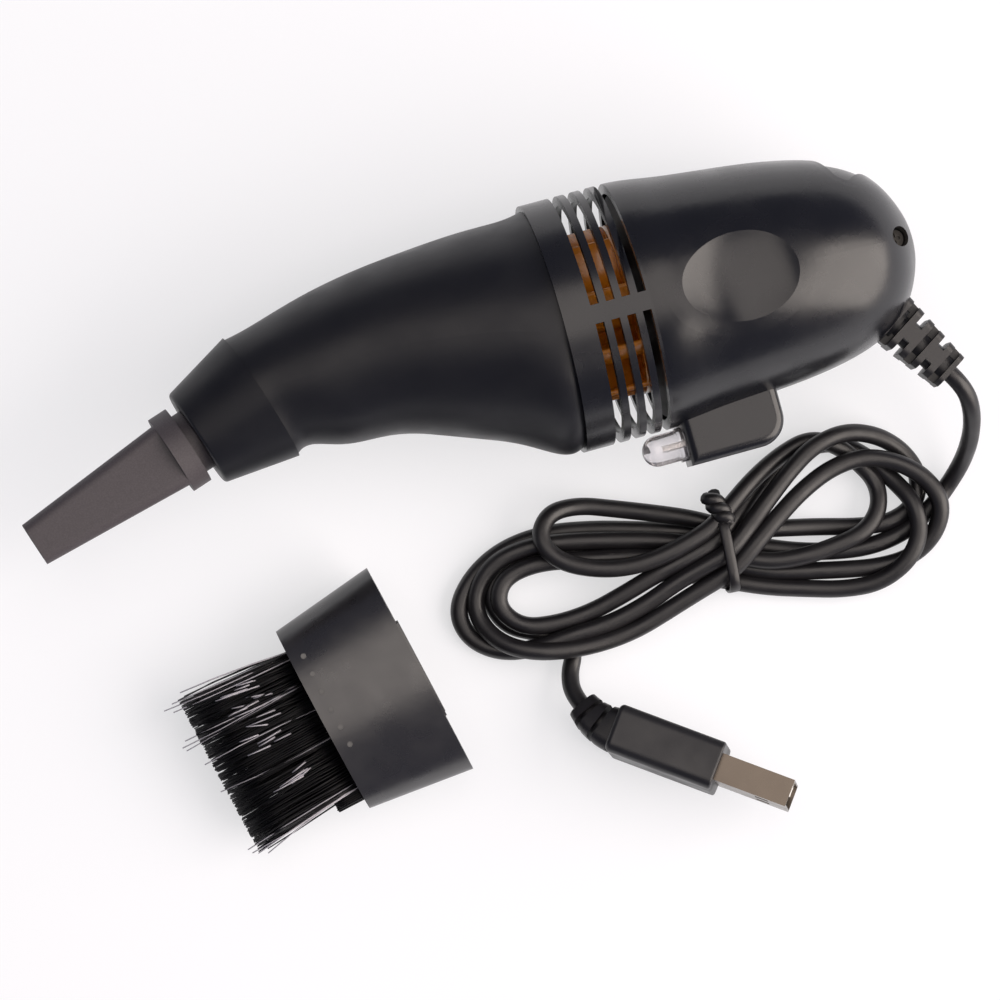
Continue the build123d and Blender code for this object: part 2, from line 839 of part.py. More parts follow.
with BuildPart() as led_resistor:
    with BuildSketch(motor_plane(lead_front + lead_length)):
        with Locations((-led_drop, lead_spacing / 2)):
            Circle(resistor_radius)
    extrude(amount=resistor_length)
    fillet(led_resistor.edges().filter_by(GeomType.CIRCLE), resistor_radius / 3)
led_resistor.part.label = "led_resistor"
export_step(led_resistor.part, "parts/led_resistor.step")

# ---------------------------------------------------------------- switch
with BuildPart() as switch_body:
    with BuildSketch(switch_top):
        Rectangle(switch_length, switch_width)
    extrude(amount=-switch_height)
    with BuildSketch(switch_top):
        Rectangle(slot_length, slot_width)
    extrude(amount=-switch_height / 2, mode=Mode.SUBTRACT)
switch_body.part.label = "switch_body"
export_step(switch_body.part, "parts/switch_body.step")

knob_foot = switch_height / 2 - knob_gap
knob_height = knob_foot + recess_wall + knob_proud
with BuildPart() as switch_slider:
    with BuildSketch(switch_top.offset(-knob_foot)):
        with Locations((-knob_travel / 2, 0)):
            Rectangle(knob_length, knob_width)
    extrude(amount=knob_height)
    fillet(switch_slider.faces().sort_by(outwards(switch_plane))[-1].edges(), knob_gap)
    with BuildSketch(switch_top.offset(knob_height - knob_foot)):
        with Locations((-knob_travel / 2, 0)):
            with GridLocations(knob_length / knob_ribs, 0, knob_ribs - 1, 1):
                Rectangle(knob_gap, knob_width)
    extrude(amount=-knob_proud / 2, mode=Mode.SUBTRACT)
switch_slider.part.label = "switch_slider"
export_step(switch_slider.part, "parts/switch_slider.step")

with BuildPart() as switch_terminals:
    with BuildSketch(switch_top.offset(-switch_height)):
        with Locations((-terminal_pitch, 0), (0, 0), (terminal_pitch, 0)):
            Circle(terminal_radius)
    extrude(amount=-terminal_length)
switch_terminals.part.label = "switch_terminals"
export_step(switch_terminals.part, "parts/switch_terminals.step")

# ---------------------------------------------------------------- filter
rim_front = ledge_front - rim_thickness
rim_inner = rim_radius - rim_width
with BuildPart() as filter_frame:
    with BuildSketch(motor_plane(rim_front)):
        Circle(rim_radius)
        Circle(rim_inner, mode=Mode.SUBTRACT)
    extrude(amount=rim_thickness)
    with BuildSketch(motor_plane(rim_front)):
        Rectangle(filter_rib, 2 * rim_inner + filter_rib)
        Rectangle(2 * rim_inner + filter_rib, filter_rib)
    extrude(amount=rim_thickness / 2)
filter_frame.part.label = "filter_frame"
export_step(filter_frame.part, "parts/filter_frame.step")

with BuildPart() as filter_cloth:
    with BuildSketch(Plane(origin=(rim_front, 0, axis_height), x_dir=(1, 0, 0), z_dir=(0, -1, 0))):
        with BuildLine():
            Polyline(
                (0, 0),
                (0, rim_inner + filter_rib),
                (-cloth_thickness, rim_inner + filter_rib),
                (-cone_length, cone_tip_radius),
                (-cone_length, 0),
                close=True,
            )
        make_face()
        with BuildLine():
            Polyline(
                (0, 0),
                (0, rim_inner),
                (cloth_thickness - cone_length, cone_tip_radius - cloth_thickness / 2),
                (cloth_thickness - cone_length, 0),
                close=True,
            )
        make_face(mode=Mode.SUBTRACT)
    revolve(axis=Axis((0, 0, axis_height), (1, 0, 0)))
filter_cloth.part.label = "filter_cloth"
export_step(filter_cloth.part, "parts/filter_cloth.step")

# ---------------------------------------------------------------- front shell and nose
shell_end_section = (seam_ahead, seam_rise, seam_half_height, seam_half_thickness, nose_tilt)
shell_rear_section = (0.0, 0.0, shell_rear_radius, shell_rear_radius, 0.0)
shell_sections = (shell_rear_section, *shell_stations, shell_end_section)

with BuildPart() as front_shell:
    for ahead, rise, half_height, half_thickness, tilt in shell_sections:
        with BuildSketch(shell_plane(ahead, rise, tilt)):
            Ellipse(half_thickness, half_height)
    loft()
    with BuildPart(mode=Mode.PRIVATE) as dust_room:
        for ahead, rise, half_height, half_thickness, tilt in shell_sections:
            with BuildSketch(shell_plane(ahead, rise, tilt)):
                Ellipse(half_thickness - shell_wall, half_height - shell_wall)
        loft()
    add(dust_room.part, mode=Mode.SUBTRACT)
    with BuildSketch(nose_plane(-shell_wall)):
        Circle(seam_half_height - shell_wall / 2)
    extrude(amount=shell_wall)
    with BuildSketch(nose_plane(0)):
        Circle(neck_radius)
    extrude(amount=neck_length)
    with BuildSketch(nose_plane(-2 * shell_wall)):
        Circle(neck_radius - shell_wall)
    extrude(amount=neck_length + 3 * shell_wall, mode=Mode.SUBTRACT)
    with BuildSketch(motor_plane(collar_front - shell_wall)):
        Circle(shell_rear_radius - shell_wall / 2)
        Circle(collar_inner - spigot_gap - spigot_wall, mode=Mode.SUBTRACT)
    extrude(amount=shell_wall)
    with BuildSketch(motor_plane(collar_front)):
        Circle(collar_inner - spigot_gap)
        Circle(collar_inner - spigot_gap - spigot_wall, mode=Mode.SUBTRACT)
    extrude(amount=spigot_length)
front_shell.part.label = "front_shell"
export_step(front_shell.part, "parts/front_shell.step")

with BuildPart() as nose_ring:
    with BuildSketch(nose_plane(0)):
        Circle(nose_rear_radius)
    with BuildSketch(nose_plane(nose_length)):
        Circle(nose_front_radius)
    loft()
    fillet(nose_ring.faces().sort_by(outwards(nose_plane(0)))[-1].edges(), nose_edge)
    with BuildSketch(nose_plane(0)):
        Circle(neck_radius)
    extrude(amount=neck_length, mode=Mode.SUBTRACT)
    with BuildSketch(nose_plane(neck_length)):
        Circle(nose_throat)
    extrude(amount=nose_length - nose_face - neck_length, mode=Mode.SUBTRACT)
    with BuildSketch(nose_plane(0)):
        Circle(nozzle_neck_radius + socket_gap)
    extrude(amount=2 * nose_length, mode=Mode.SUBTRACT)
nose_ring.part.label = "nose_ring"
export_step(nose_ring.part, "parts/nose_ring.step")

# ---------------------------------------------------------------- nozzle
collar_start = nose_length + nozzle_neck_exposed
root_start = collar_start + nozzle_collar_length
with BuildPart() as nozzle:
    with BuildSketch(nose_plane(root_start)):
        RectangleRounded(nozzle_root_thickness, nozzle_root_height, nozzle_corner)
    with BuildSketch(nose_plane(root_start + nozzle_length)):
        RectangleRounded(nozzle_tip_thickness, nozzle_tip_height, nozzle_corner)
    loft()
    with BuildSketch(nose_plane(collar_start)):
        Circle(nozzle_collar_radius)
    extrude(amount=nozzle_collar_length)
    with BuildSketch(nose_plane(nose_length - nose_face)):
        Circle(nozzle_neck_radius)
    extrude(amount=nozzle_neck_exposed + nose_face)
    with BuildSketch(nose_plane(nose_length - nose_face)):
        Circle(nozzle_neck_radius - nozzle_wall)
    extrude(amount=nose_face + nozzle_neck_exposed + nozzle_collar_length / 2, mode=Mode.SUBTRACT)
    with BuildPart(mode=Mode.PRIVATE) as nozzle_bore:
        with BuildSketch(nose_plane(root_start - nozzle_collar_length / 2)):
            RectangleRounded(
                nozzle_root_thickness - 2 * nozzle_wall,
                nozzle_root_height - 2 * nozzle_wall,
                nozzle_corner - nozzle_wall,
            )
        with BuildSketch(nose_plane(root_start + nozzle_length)):
            RectangleRounded(
                nozzle_tip_thickness - 2 * nozzle_wall,
                nozzle_tip_height - 2 * nozzle_wall,
                nozzle_corner - nozzle_wall,
            )
        loft()
    add(nozzle_bore.part, mode=Mode.SUBTRACT)
nozzle.part.label = "nozzle"
export_step(nozzle.part, "parts/nozzle.step")

# ---------------------------------------------------------------- strain relief
relief_foot = relief_plane.offset(-relief_inner)
relief_end = relief_plane.offset(relief_length)
with BuildPart() as strain_relief:
    with BuildSketch(relief_plane.offset(-relief_flange)):
        RectangleRounded(relief_base_width, relief_base_width, relief_flange)
    with BuildSketch(relief_end):
        RectangleRounded(relief_end_width, relief_end_width, relief_flange)
    loft()
    for index in range(relief_cuts):
        side_on = index % 2
        with BuildSketch(relief_plane.offset(relief_first_cut + index * relief_cut_pitch)):
            Rectangle(relief_base_width, relief_base_width)
            Circle(relief_core_radius, mode=Mode.SUBTRACT)
            if side_on:
                Rectangle(2 * relief_base_width, relief_rib, mode=Mode.SUBTRACT)
            else:
                Rectangle(relief_rib, 2 * relief_base_width, mode=Mode.SUBTRACT)
        extrude(amount=relief_cut / 2, both=True, mode=Mode.SUBTRACT)
    add(housing_outside, mode=Mode.SUBTRACT)
    with BuildSketch(relief_foot):
        Circle(relief_flange_radius)
    extrude(amount=relief_flange)
    with BuildSketch(relief_foot):
        Circle(relief_neck_radius)
    extrude(amount=relief_inner + relief_flange)
strain_relief.part.label = "strain_relief"
export_step(strain_relief.part, "parts/strain_relief.step")

# ---------------------------------------------------------------- wires inside the housing
def round_route(points, diameter):
    """Tube through the points, each corner rounded as far as its runs allow, and its length."""
    with BuildPart() as tube:
        with BuildLine() as route:
            FilletPolyline(*points, radius=arc_radii(points))
        with BuildSketch(Plane(origin=points[0], z_dir=Vector(*points[1]) - Vector(*points[0]))):
            Circle(diameter / 2)
        sweep()
    return tube.part, sum(edge.length for edge in route.edges())


def straight_out(plane, across):
    """The first two points of a wire that leaves a plane squarely, so far across from its origin."""
    here = plane.from_local_coords(Vector(across, 0, 0))
    return here, here + plane.z_dir * wire_straight


cap_back = cap_front + cap_length
wire_supply = Plane(origin=relief_foot.origin, x_dir=(0, 0, 1), z_dir=-relief_way)
wire_switch = Plane(
    origin=switch_top.offset(-switch_height - terminal_length).origin,
    x_dir=switch_plane.x_dir,
    z_dir=-switch_plane.z_dir,
)
wire_motor = Plane(origin=(cap_back, 0, axis_height), x_dir=(0, 1, 0), z_dir=(1, 0, 0))
wire_lamp = Plane(
    origin=(lead_front + lead_length, -led_drop, axis_height), x_dir=(0, 0, 1), z_dir=(1, 0, 0)
)
lamp_roof = -can_radius - 2.5 * wire_diameter
turn_x = cap_back + 4 * wire_diameter
wire_routes = [
    (
        *straight_out(wire_supply, wire_gap / 2),
        (relief_x - relief_inner - wire_gap, -wire_gap, axis_height),
        *reversed(straight_out(wire_switch, terminal_pitch)),
    ),
    (
        *straight_out(wire_supply, -wire_gap / 2),
        *reversed(straight_out(wire_motor, -bushing_radius - wire_gap)),
    ),
    (
        *straight_out(wire_switch, -terminal_pitch),
        *reversed(straight_out(wire_motor, bushing_radius + wire_gap)),
    ),
]
lamp_starts = ((lead_spacing / 2, wire_lamp.offset(resistor_length)), (-lead_spacing / 2, wire_lamp))
for across, start in lamp_starts:
    level = axis_height + across
    here = start.from_local_coords(Vector(across, 0, 0))
    wire_routes.append(
        (
            here,
            here + Vector(wire_diameter, 0, 0),
            (pod_back - pod_wall - 1.6 * wire_diameter, -led_drop + 2 * wire_diameter, level),
            (pod_back - pod_wall - 1.2 * wire_diameter, lamp_roof - 3 * wire_diameter, level),
            (pod_back, lamp_roof - wire_diameter, level),
            (cap_back, lamp_roof, level),
            (turn_x, lamp_roof + 1.6 * wire_diameter, level),
            (turn_x + 0.3 * wire_diameter, lamp_roof + 4 * wire_diameter, level),
            (cap_back + wire_straight, -can_radius + 3 * wire_diameter, level),
            (cap_back, -can_radius + 3 * wire_diameter, level),
        )
    )
with BuildPart() as motor_wires:
    for points in wire_routes:
        add(round_route(points, wire_diameter)[0])
motor_wires.part.label = "motor_wires"
export_step(motor_wires.part, "parts/motor_wires.step")

# ---------------------------------------------------------------- plug
# The plug stands on its narrow side, leans and points up, with its lowest corner on the table.
lean = radians(plug_lean)
pitch = radians(plug_pitch)
corner_across = plug_body_thickness / 2 - plug_body_corner
corner_up = plug_body_width / 2 - plug_body_corner
plug_half_height = corner_up * cos(lean) + corner_across * sin(lean) + plug_body_corner
plug_height = plug_half_height * cos(pitch)
plug_way = heading(plug_heading) * cos(pitch) + Vector(0, 0, sin(pitch))
plug_across = heading(plug_heading + 90)
plug_up = plug_way.cross(plug_across)
plug_plane = Plane(
    origin=(plug_x, plug_y, plug_height),
    x_dir=plug_up * cos(lean) + plug_across * sin(lean),
    z_dir=plug_way,
)
plug_face = plug_plane.offset(plug_body_length)

with BuildPart() as plug_body:
    with BuildSketch(plug_plane):
        RectangleRounded(plug_body_width, plug_body_thickness, plug_body_corner)
    extrude(amount=plug_body_length)
    fillet(plug_body.faces().sort_by(outwards(plug_plane))[0].edges(), plug_body_corner / 2)
    fillet(plug_body.faces().sort_by(outwards(plug_plane))[-1].edges(), plug_body_corner / 4)
plug_body.part.label = "plug_body"
export_step(plug_body.part, "parts/plug_body.step")

plug_room_width = plug_shell_width - 2 * plug_shell_wall
plug_room_thickness = plug_shell_thickness - 2 * plug_shell_wall
with BuildPart() as plug_shell:
    with BuildSketch(plug_face):
        Rectangle(plug_shell_width, plug_shell_thickness)
        Rectangle(plug_room_width, plug_room_thickness, mode=Mode.SUBTRACT)
    extrude(amount=plug_shell_length)
    with BuildSketch(Plane(origin=plug_face.origin, x_dir=plug_plane.x_dir, z_dir=plug_plane.y_dir)):
        # Local Y of this sketch runs against the plug's own way.
        for side in (-plug_window_pitch / 2, plug_window_pitch / 2):
            with Locations((side, plug_window_inset - plug_shell_length)):
                Rectangle(plug_window, plug_window)
    extrude(amount=plug_shell_thickness, both=True, mode=Mode.SUBTRACT)
plug_shell.part.label = "plug_shell"
export_step(plug_shell.part, "parts/plug_shell.step")

tongue_seat = plug_tongue_thickness - plug_room_thickness
with BuildPart() as plug_tongue:
    with BuildSketch(plug_face):
        with Locations((0, tongue_seat / 2)):
            Rectangle(plug_room_width, plug_tongue_thickness)
    extrude(amount=plug_shell_length - plug_tongue_recess)
plug_tongue.part.label = "plug_tongue"
export_step(plug_tongue.part, "parts/plug_tongue.step")

contact_level = tongue_seat / 2 + plug_tongue_thickness / 2 + plug_contact_thickness / 2
with BuildPart() as plug_contacts:
    with BuildSketch(plug_face.offset(plug_shell_length - plug_contact_length)):
        with Locations((0, contact_level)):
            with GridLocations(plug_contact_pitch, 0, plug_contact_count, 1):
                Rectangle(plug_contact_width, plug_contact_thickness)
    extrude(amount=plug_contact_length - 2 * plug_tongue_recess)
plug_contacts.part.label = "plug_contacts"
export_step(plug_contacts.part, "parts/plug_contacts.step")

# The boot runs back from the plug in blocks that turn towards the cord.
boot_planes = []
boot_point = plug_plane.origin
for block_length, block_heading, block_dip, block_width in boot_blocks:
    dip = radians(block_dip)
    boot_back = Vector(0, 0, -sin(dip)) - heading(block_heading) * cos(dip)
    block_plane = Plane(origin=boot_point, x_dir=heading(block_heading + 90), z_dir=boot_back)
    boot_planes.append((block_plane, block_width))
    boot_point = boot_point + boot_back * block_length
boot_end = Plane(origin=boot_point, x_dir=heading(block_heading + 90), z_dir=boot_back)
boot_planes.append((boot_end, boot_end_width))

with BuildPart() as plug_boot:
    for plane, width in boot_planes:
        with BuildSketch(plane):
            RectangleRounded(width, width, width / 4)
    loft()
    for plane, width in boot_planes[1:-1]:
        with BuildSketch(plane):
            Rectangle(2 * width, 2 * width)
            Circle(boot_core_radius, mode=Mode.SUBTRACT)
        extrude(amount=boot_cut / 2, both=True, mode=Mode.SUBTRACT)
    add(plug_body.part, mode=Mode.SUBTRACT)
plug_boot.part.label = "plug_boot"
export_step(plug_boot.part, "parts/plug_boot.step")

# ---------------------------------------------------------------- cord
lead_points = (relief_end.origin, relief_end.offset(lead_start).origin, *lead_route)
tail_points = (*tail_route, boot_end.offset(tail_finish).origin, boot_end.origin)

cord_lead, lead_run = round_route(lead_points, cord_diameter)
cord_lead.label = "cord_lead"
export_step(cord_lead, "parts/cord_lead.step")

cord_tail, tail_run = round_route(tail_points, cord_diameter)
cord_tail.label = "cord_tail"
export_step(cord_tail, "parts/cord_tail.step")

cord_section = pi * cord_radius**2
cord_runs = (("lead", lead_points, cord_lead, lead_run), ("tail", tail_points, cord_tail, tail_run))
for name, points, tube, run in cord_runs:
    print(name, "points", [tuple(round(value, 2) for value in Vector(*point)) for point in points])
    print(name, "radii", [round(radius, 1) for radius in arc_radii(points)])
    print(name, "length", round(run, 1), "volume share", round(tube.volume / cord_section / run, 3))

# The tie: a band round the hank's waist, with its twisted ends at one side.
with BuildPart() as cord_tie:
    tie_side = (tie_x - tie_width / 2, tie_y, 0)
    with BuildSketch(Plane(origin=tie_side, x_dir=(0, 1, 0), z_dir=(1, 0, 0))):
        with Locations((0, (hank_height + tie_proud) / 2)):
            RectangleRounded(tie_reach + 2 * tie_proud, hank_height + tie_proud, knot_radius)
            Rectangle(tie_reach - 2 * tie_thickness, hank_height - tie_thickness, mode=Mode.SUBTRACT)
    extrude(amount=tie_width)
    knot_way = heading(knot_heading)
    knot_start = (tie_x, tie_y + tie_reach / 2 - tie_thickness, hank_height / 2)
    with BuildSketch(Plane(origin=knot_start, z_dir=knot_way)):
        Circle(knot_radius)
    extrude(amount=knot_length)
cord_tie.part.label = "cord_tie"
export_step(cord_tie.part, "parts/cord_tie.step")

with BuildPart() as cord_hank:
    with BuildSketch(Plane.XY):
        with BuildLine():
            Spline(*hank_outline, periodic=True)
        make_face()
        for eye in (left_eye, right_eye):
            with BuildLine():
                Spline(*eye, periodic=True)
            make_face(mode=Mode.SUBTRACT)
    extrude(amount=hank_height)
    fillet(cord_hank.faces().filter_by(Axis.Z).edges(), hank_edge)
    add(cord_tie.part, mode=Mode.SUBTRACT)
cord_hank.part.label = "cord_hank"
export_step(cord_hank.part, "parts/cord_hank.step")

# ---------------------------------------------------------------- brush head
# The ferrule lies on its side, so its axis rises towards the wide end by half its taper.
brush_rise = atan2((ferrule_wide_height - ferrule_narrow_height) / 2, ferrule_length)
brush_flat = heading(brush_heading)
brush_way = Vector(
    brush_flat.X * cos(brush_rise), brush_flat.Y * cos(brush_rise), sin(brush_rise)
)
brush_across = heading(brush_heading + 90)
brush_origin = (brush_x, brush_y, ferrule_narrow_height / 2 * cos(brush_rise))
brush_plane = Plane(origin=brush_origin, x_dir=brush_across, z_dir=brush_way)
brush_rim = brush_plane.offset(ferrule_length)


def ferrule_form(inset):
    with BuildPart() as form:
        with BuildSketch(brush_plane):
            Ellipse(ferrule_narrow / 2 - inset, ferrule_narrow_height / 2 - inset)
        with BuildSketch(brush_rim):
            Ellipse(ferrule_wide / 2 - inset, ferrule_wide_height / 2 - inset)
        loft()
    return form.part


ferrule_room = ferrule_form(ferrule_wall)
pit_share = pit_inset / ferrule_length
pit_top = ferrule_narrow_height / 2 + pit_share * (ferrule_wide_height - ferrule_narrow_height) / 2
pit_side = ferrule_narrow / 2 + pit_share * (ferrule_wide - ferrule_narrow) / 2


def pit_plane(place):
    """Plane of the bottom of the pit that is so far across the ferrule from its middle."""
    level = pit_top * sqrt(1 - (place / pit_side) ** 2) - pit_depth
    return Plane(
        origin=brush_plane.from_local_coords(Vector(place, level, pit_inset)),
        x_dir=brush_across,
        z_dir=brush_plane.y_dir,
    )


with BuildPart() as brush_ferrule:
    add(ferrule_form(0))
    with BuildSketch(brush_rim):
        Ellipse(ferrule_wide / 2 - ferrule_tab_proud, ferrule_wide_height / 2 - ferrule_tab_proud)
        Rectangle(ferrule_tab, ferrule_wide_height, mode=Mode.INTERSECT)
    extrude(amount=ferrule_tab_proud)
    add(ferrule_room, mode=Mode.SUBTRACT)
    with BuildSketch(brush_rim):
        Ellipse(ferrule_wide / 2 - ferrule_wall, ferrule_wide_height / 2 - ferrule_wall)
    extrude(amount=ferrule_wall, mode=Mode.SUBTRACT)
    for pit in range(pit_count):
        with BuildSketch(pit_plane(pit_shift + (pit - (pit_count - 1) / 2) * pit_pitch)):
            Circle(pit_radius)
        extrude(amount=2 * pit_depth, mode=Mode.SUBTRACT)
brush_ferrule.part.label = "brush_ferrule"
export_step(brush_ferrule.part, "parts/brush_ferrule.step")

with BuildPart() as brush_plate:
    with BuildSketch(brush_plane):
        Rectangle(2 * ferrule_narrow, 2 * ferrule_narrow)
    extrude(amount=plate_depth)
    add(ferrule_room, mode=Mode.INTERSECT)
    with BuildSketch(brush_plane):
        Circle(stub_radius - stub_wall)
    extrude(amount=plate_depth, mode=Mode.SUBTRACT)
brush_plate.part.label = "brush_plate"
export_step(brush_plate.part, "parts/brush_plate.step")

with BuildPart() as brush_stub:
    with BuildSketch(brush_plane.offset(plate_depth)):
        Circle(stub_radius)
        Circle(stub_radius - stub_wall, mode=Mode.SUBTRACT)
    extrude(amount=ferrule_length - plate_depth - stub_recess)
brush_stub.part.label = "brush_stub"
export_step(brush_stub.part, "parts/brush_stub.step")

with BuildPart() as brush_bristles:
    with BuildSketch(brush_plane):
        Rectangle(bristle_root_width, bristle_root_height)
    with BuildSketch(brush_plane.offset(-bristle_length)):
        Rectangle(bristle_tip_width, bristle_tip_height)
    loft()
brush_bristles.part.label = "brush_bristles"
export_step(brush_bristles.part, "parts/brush_bristles.step")
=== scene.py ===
import math
import random

import bmesh
import bpy
from mathutils import Matrix, Vector


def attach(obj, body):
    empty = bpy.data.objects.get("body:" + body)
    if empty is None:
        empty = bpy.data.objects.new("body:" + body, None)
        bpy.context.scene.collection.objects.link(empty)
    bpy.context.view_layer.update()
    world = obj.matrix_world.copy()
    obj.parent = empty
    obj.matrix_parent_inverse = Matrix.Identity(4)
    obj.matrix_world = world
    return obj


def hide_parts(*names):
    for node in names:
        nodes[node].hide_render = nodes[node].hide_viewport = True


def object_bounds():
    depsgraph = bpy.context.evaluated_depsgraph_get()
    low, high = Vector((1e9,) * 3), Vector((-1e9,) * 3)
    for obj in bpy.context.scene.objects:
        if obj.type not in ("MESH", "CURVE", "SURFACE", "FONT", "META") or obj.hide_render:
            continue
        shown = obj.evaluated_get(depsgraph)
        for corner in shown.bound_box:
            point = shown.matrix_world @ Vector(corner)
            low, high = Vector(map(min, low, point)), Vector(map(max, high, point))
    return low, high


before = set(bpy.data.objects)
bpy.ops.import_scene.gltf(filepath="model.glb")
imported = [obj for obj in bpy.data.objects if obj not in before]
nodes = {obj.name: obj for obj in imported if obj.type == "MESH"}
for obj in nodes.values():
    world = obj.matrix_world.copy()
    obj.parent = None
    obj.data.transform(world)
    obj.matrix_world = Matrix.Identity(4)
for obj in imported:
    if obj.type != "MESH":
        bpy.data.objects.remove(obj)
cad_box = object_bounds()

# The object's places and sizes are written in millimetres, and MM turns them to metres.
MM = 0.001
WHOLE_TURN = 2 * math.pi
UP = Vector((0, 0, 1))


# ---------------------------------------------------------------- materials
def tint(code):
    """Linear colour of an sRGB hex value."""
    levels = [int(code[at : at + 2], 16) / 255 for at in (1, 3, 5)]
    linear = [v / 12.92 if v <= 0.04045 else ((v + 0.055) / 1.055) ** 2.4 for v in levels]
    return (*linear, 1.0)


def add_node(tree, kind, sockets=None, **settings):
    """A new node with its settings, and each named socket linked or set."""
    made = tree.nodes.new(kind)
    for name, value in settings.items():
        setattr(made, name, value)
    for name, value in (sockets or {}).items():
        if isinstance(value, bpy.types.NodeSocket):
            tree.links.new(value, made.inputs[name])
        else:
            made.inputs[name].default_value = value
    return made


def surface_of(material):
    """A material's node tree, its shader and the place on its surface."""
    tree = material.node_tree
    return tree, tree.nodes["Principled BSDF"], tree.nodes["Texture Coordinate"].outputs["Object"]


def finish(name, colour, roughness, grain=None, wear=None, **constants):
    """A new material, with its shader's constants set.

    Grain is the width and the depth of its bumps. Wear is the width of the patches over which
    its roughness drifts, and the two ends of that drift. Widths and depths are in millimetres.
    """
    material = bpy.data.materials.new(name)
    material.use_nodes = True
    add_node(material.node_tree, "ShaderNodeTexCoord")
    tree, shader, place = surface_of(material)
    shader.inputs["Base Color"].default_value = tint(colour)
    shader.inputs["Roughness"].default_value = roughness
    for socket, value in constants.items():
        shader.inputs[socket.replace("_", " ")].default_value = value
    if grain:
        width, depth = grain
        bumps = add_node(
            tree, "ShaderNodeTexNoise", {"Vector": place, "Scale": 1 / (width * MM), "Detail": 2.0}
        )
        relief = add_node(
            tree,
            "ShaderNodeBump",
            {"Height": bumps.outputs["Fac"], "Distance": depth * MM, "Strength": 1.0},
        )
        tree.links.new(relief.outputs["Normal"], shader.inputs["Normal"])
    if wear:
        width, smooth, rough = wear
        patches = add_node(
            tree, "ShaderNodeTexNoise", {"Vector": place, "Scale": 1 / (width * MM), "Detail": 4.0}
        )
        drift = add_node(
            tree,
            "ShaderNodeMapRange",
            {
                "Value": patches.outputs["Fac"],
                "From Min": 0.35,
                "From Max": 0.65,
                "To Min": smooth,
                "To Max": rough,
            },
        )
        tree.links.new(drift.outputs["Result"], shader.inputs["Roughness"])
    return material


# Moulded ABS, polished tool: near black with a faint blue, satin gloss, a slight orange peel.
shell_abs = finish(
    "moulded ABS satin gloss", "#0f1016", 0.26, grain=(0.9, 0.004), wear=(7.0, 0.22, 0.3), IOR=1.54
)

# The same ABS from a finely etched tool: the front shell and nose ring take a duller light.
etched_abs = finish(
    "moulded ABS finely etched",
    "#15161c",
    0.4,
    grain=(0.5, 0.004),
    wear=(7.0, 0.36, 0.46),
    IOR=1.54,
    Specular_IOR_Level=0.28,
)

# Moulded ABS, spark-eroded tool: dark warm grey with a hint of purple, matte, a fine even grain
# that is a little lighter where it stands out.
SPARK_WIDTH = 0.25 * MM
SPARK_DEPTH = 0.012 * MM
nozzle_abs = finish("moulded ABS matte", "#413c40", 0.55, IOR=1.54)
tree, shader, place = surface_of(nozzle_abs)
sparks = add_node(tree, "ShaderNodeTexNoise", {"Vector": place, "Scale": 1 / SPARK_WIDTH, "Detail": 2.0})
relief = add_node(
    tree, "ShaderNodeBump", {"Height": sparks.outputs["Fac"], "Distance": SPARK_DEPTH, "Strength": 1.0}
)
tree.links.new(relief.outputs["Normal"], shader.inputs["Normal"])
tones = add_node(tree, "ShaderNodeValToRGB", {"Fac": sparks.outputs["Fac"]})
for stop, level, colour in zip(tones.color_ramp.elements, (0.3, 0.7), ("#3e393d", "#494448")):
    stop.position = level
    stop.color = tint(colour)
tree.links.new(tones.outputs["Color"], shader.inputs["Base Color"])

# Zinc-plated steel screw, its colour darkened as painted shade of the deep well it sits in.
zinc = finish("zinc plated steel", "#4c4a48", 0.38, grain=(0.15, 0.004), Metallic=1.0)

# Glass-filled nylon inside the housing: black, dull.
nylon = finish("black nylon", "#1a1a1c", 0.5, grain=(0.3, 0.008), IOR=1.53)

# Drawn and zinc-flashed steel of the motor can, shaft and armature plates: pale grey, with a
# sheen that runs one way.
steel = finish("drawn steel", "#b4b2af", 0.32, wear=(1.5, 0.26, 0.42), Metallic=1.0, Anisotropic=0.4)

# Sintered ferrite magnet: charcoal, dull, faintly grainy.
ferrite = finish("sintered ferrite", "#38373a", 0.65, grain=(0.12, 0.01))

# Enamelled copper wire, wound: bright orange brown. A wave texture of this scale repeats every
# 0.31 mm, which is as coarse as the wires need to be to show.
WINDING_SCALE = 1 / MM
WIRE_RELIEF = 0.1 * MM
enamelled_copper = finish(
    "enamelled copper wire", "#b4602c", 0.25, Metallic=1.0, Coat_Weight=0.6, Coat_Roughness=0.15
)
tree, shader, place = surface_of(enamelled_copper)
windings = add_node(
    tree,
    "ShaderNodeTexWave",
    {"Vector": place, "Scale": WINDING_SCALE, "Distortion": 0.4},
    wave_type="BANDS",
    bands_direction="X",
)
relief = add_node(
    tree, "ShaderNodeBump", {"Height": windings.outputs["Fac"], "Distance": WIRE_RELIEF, "Strength": 1.0}
)
tree.links.new(relief.outputs["Normal"], shader.inputs["Normal"])

# Bare copper of the commutator and terminals.
copper = finish("bare copper", "#c07a4e", 0.3, wear=(1.0, 0.22, 0.42), Metallic=1.0)

# Sintered bronze bushing: brown gold, oily, fine pores.
bronze = finish("sintered bronze", "#9c7446", 0.4, grain=(0.08, 0.01), Metallic=1.0)

# Pressed carbon of the motor's brushes: dull black.
carbon = finish("pressed carbon", "#242426", 0.7, grain=(0.1, 0.008))

# Amber polycarbonate, moulded clear: warm orange that lets some light through.
amber = finish(
    "amber polycarbonate", "#e89024", 0.22, wear=(3.0, 0.18, 0.3), IOR=1.58, Transmission_Weight=0.15
)

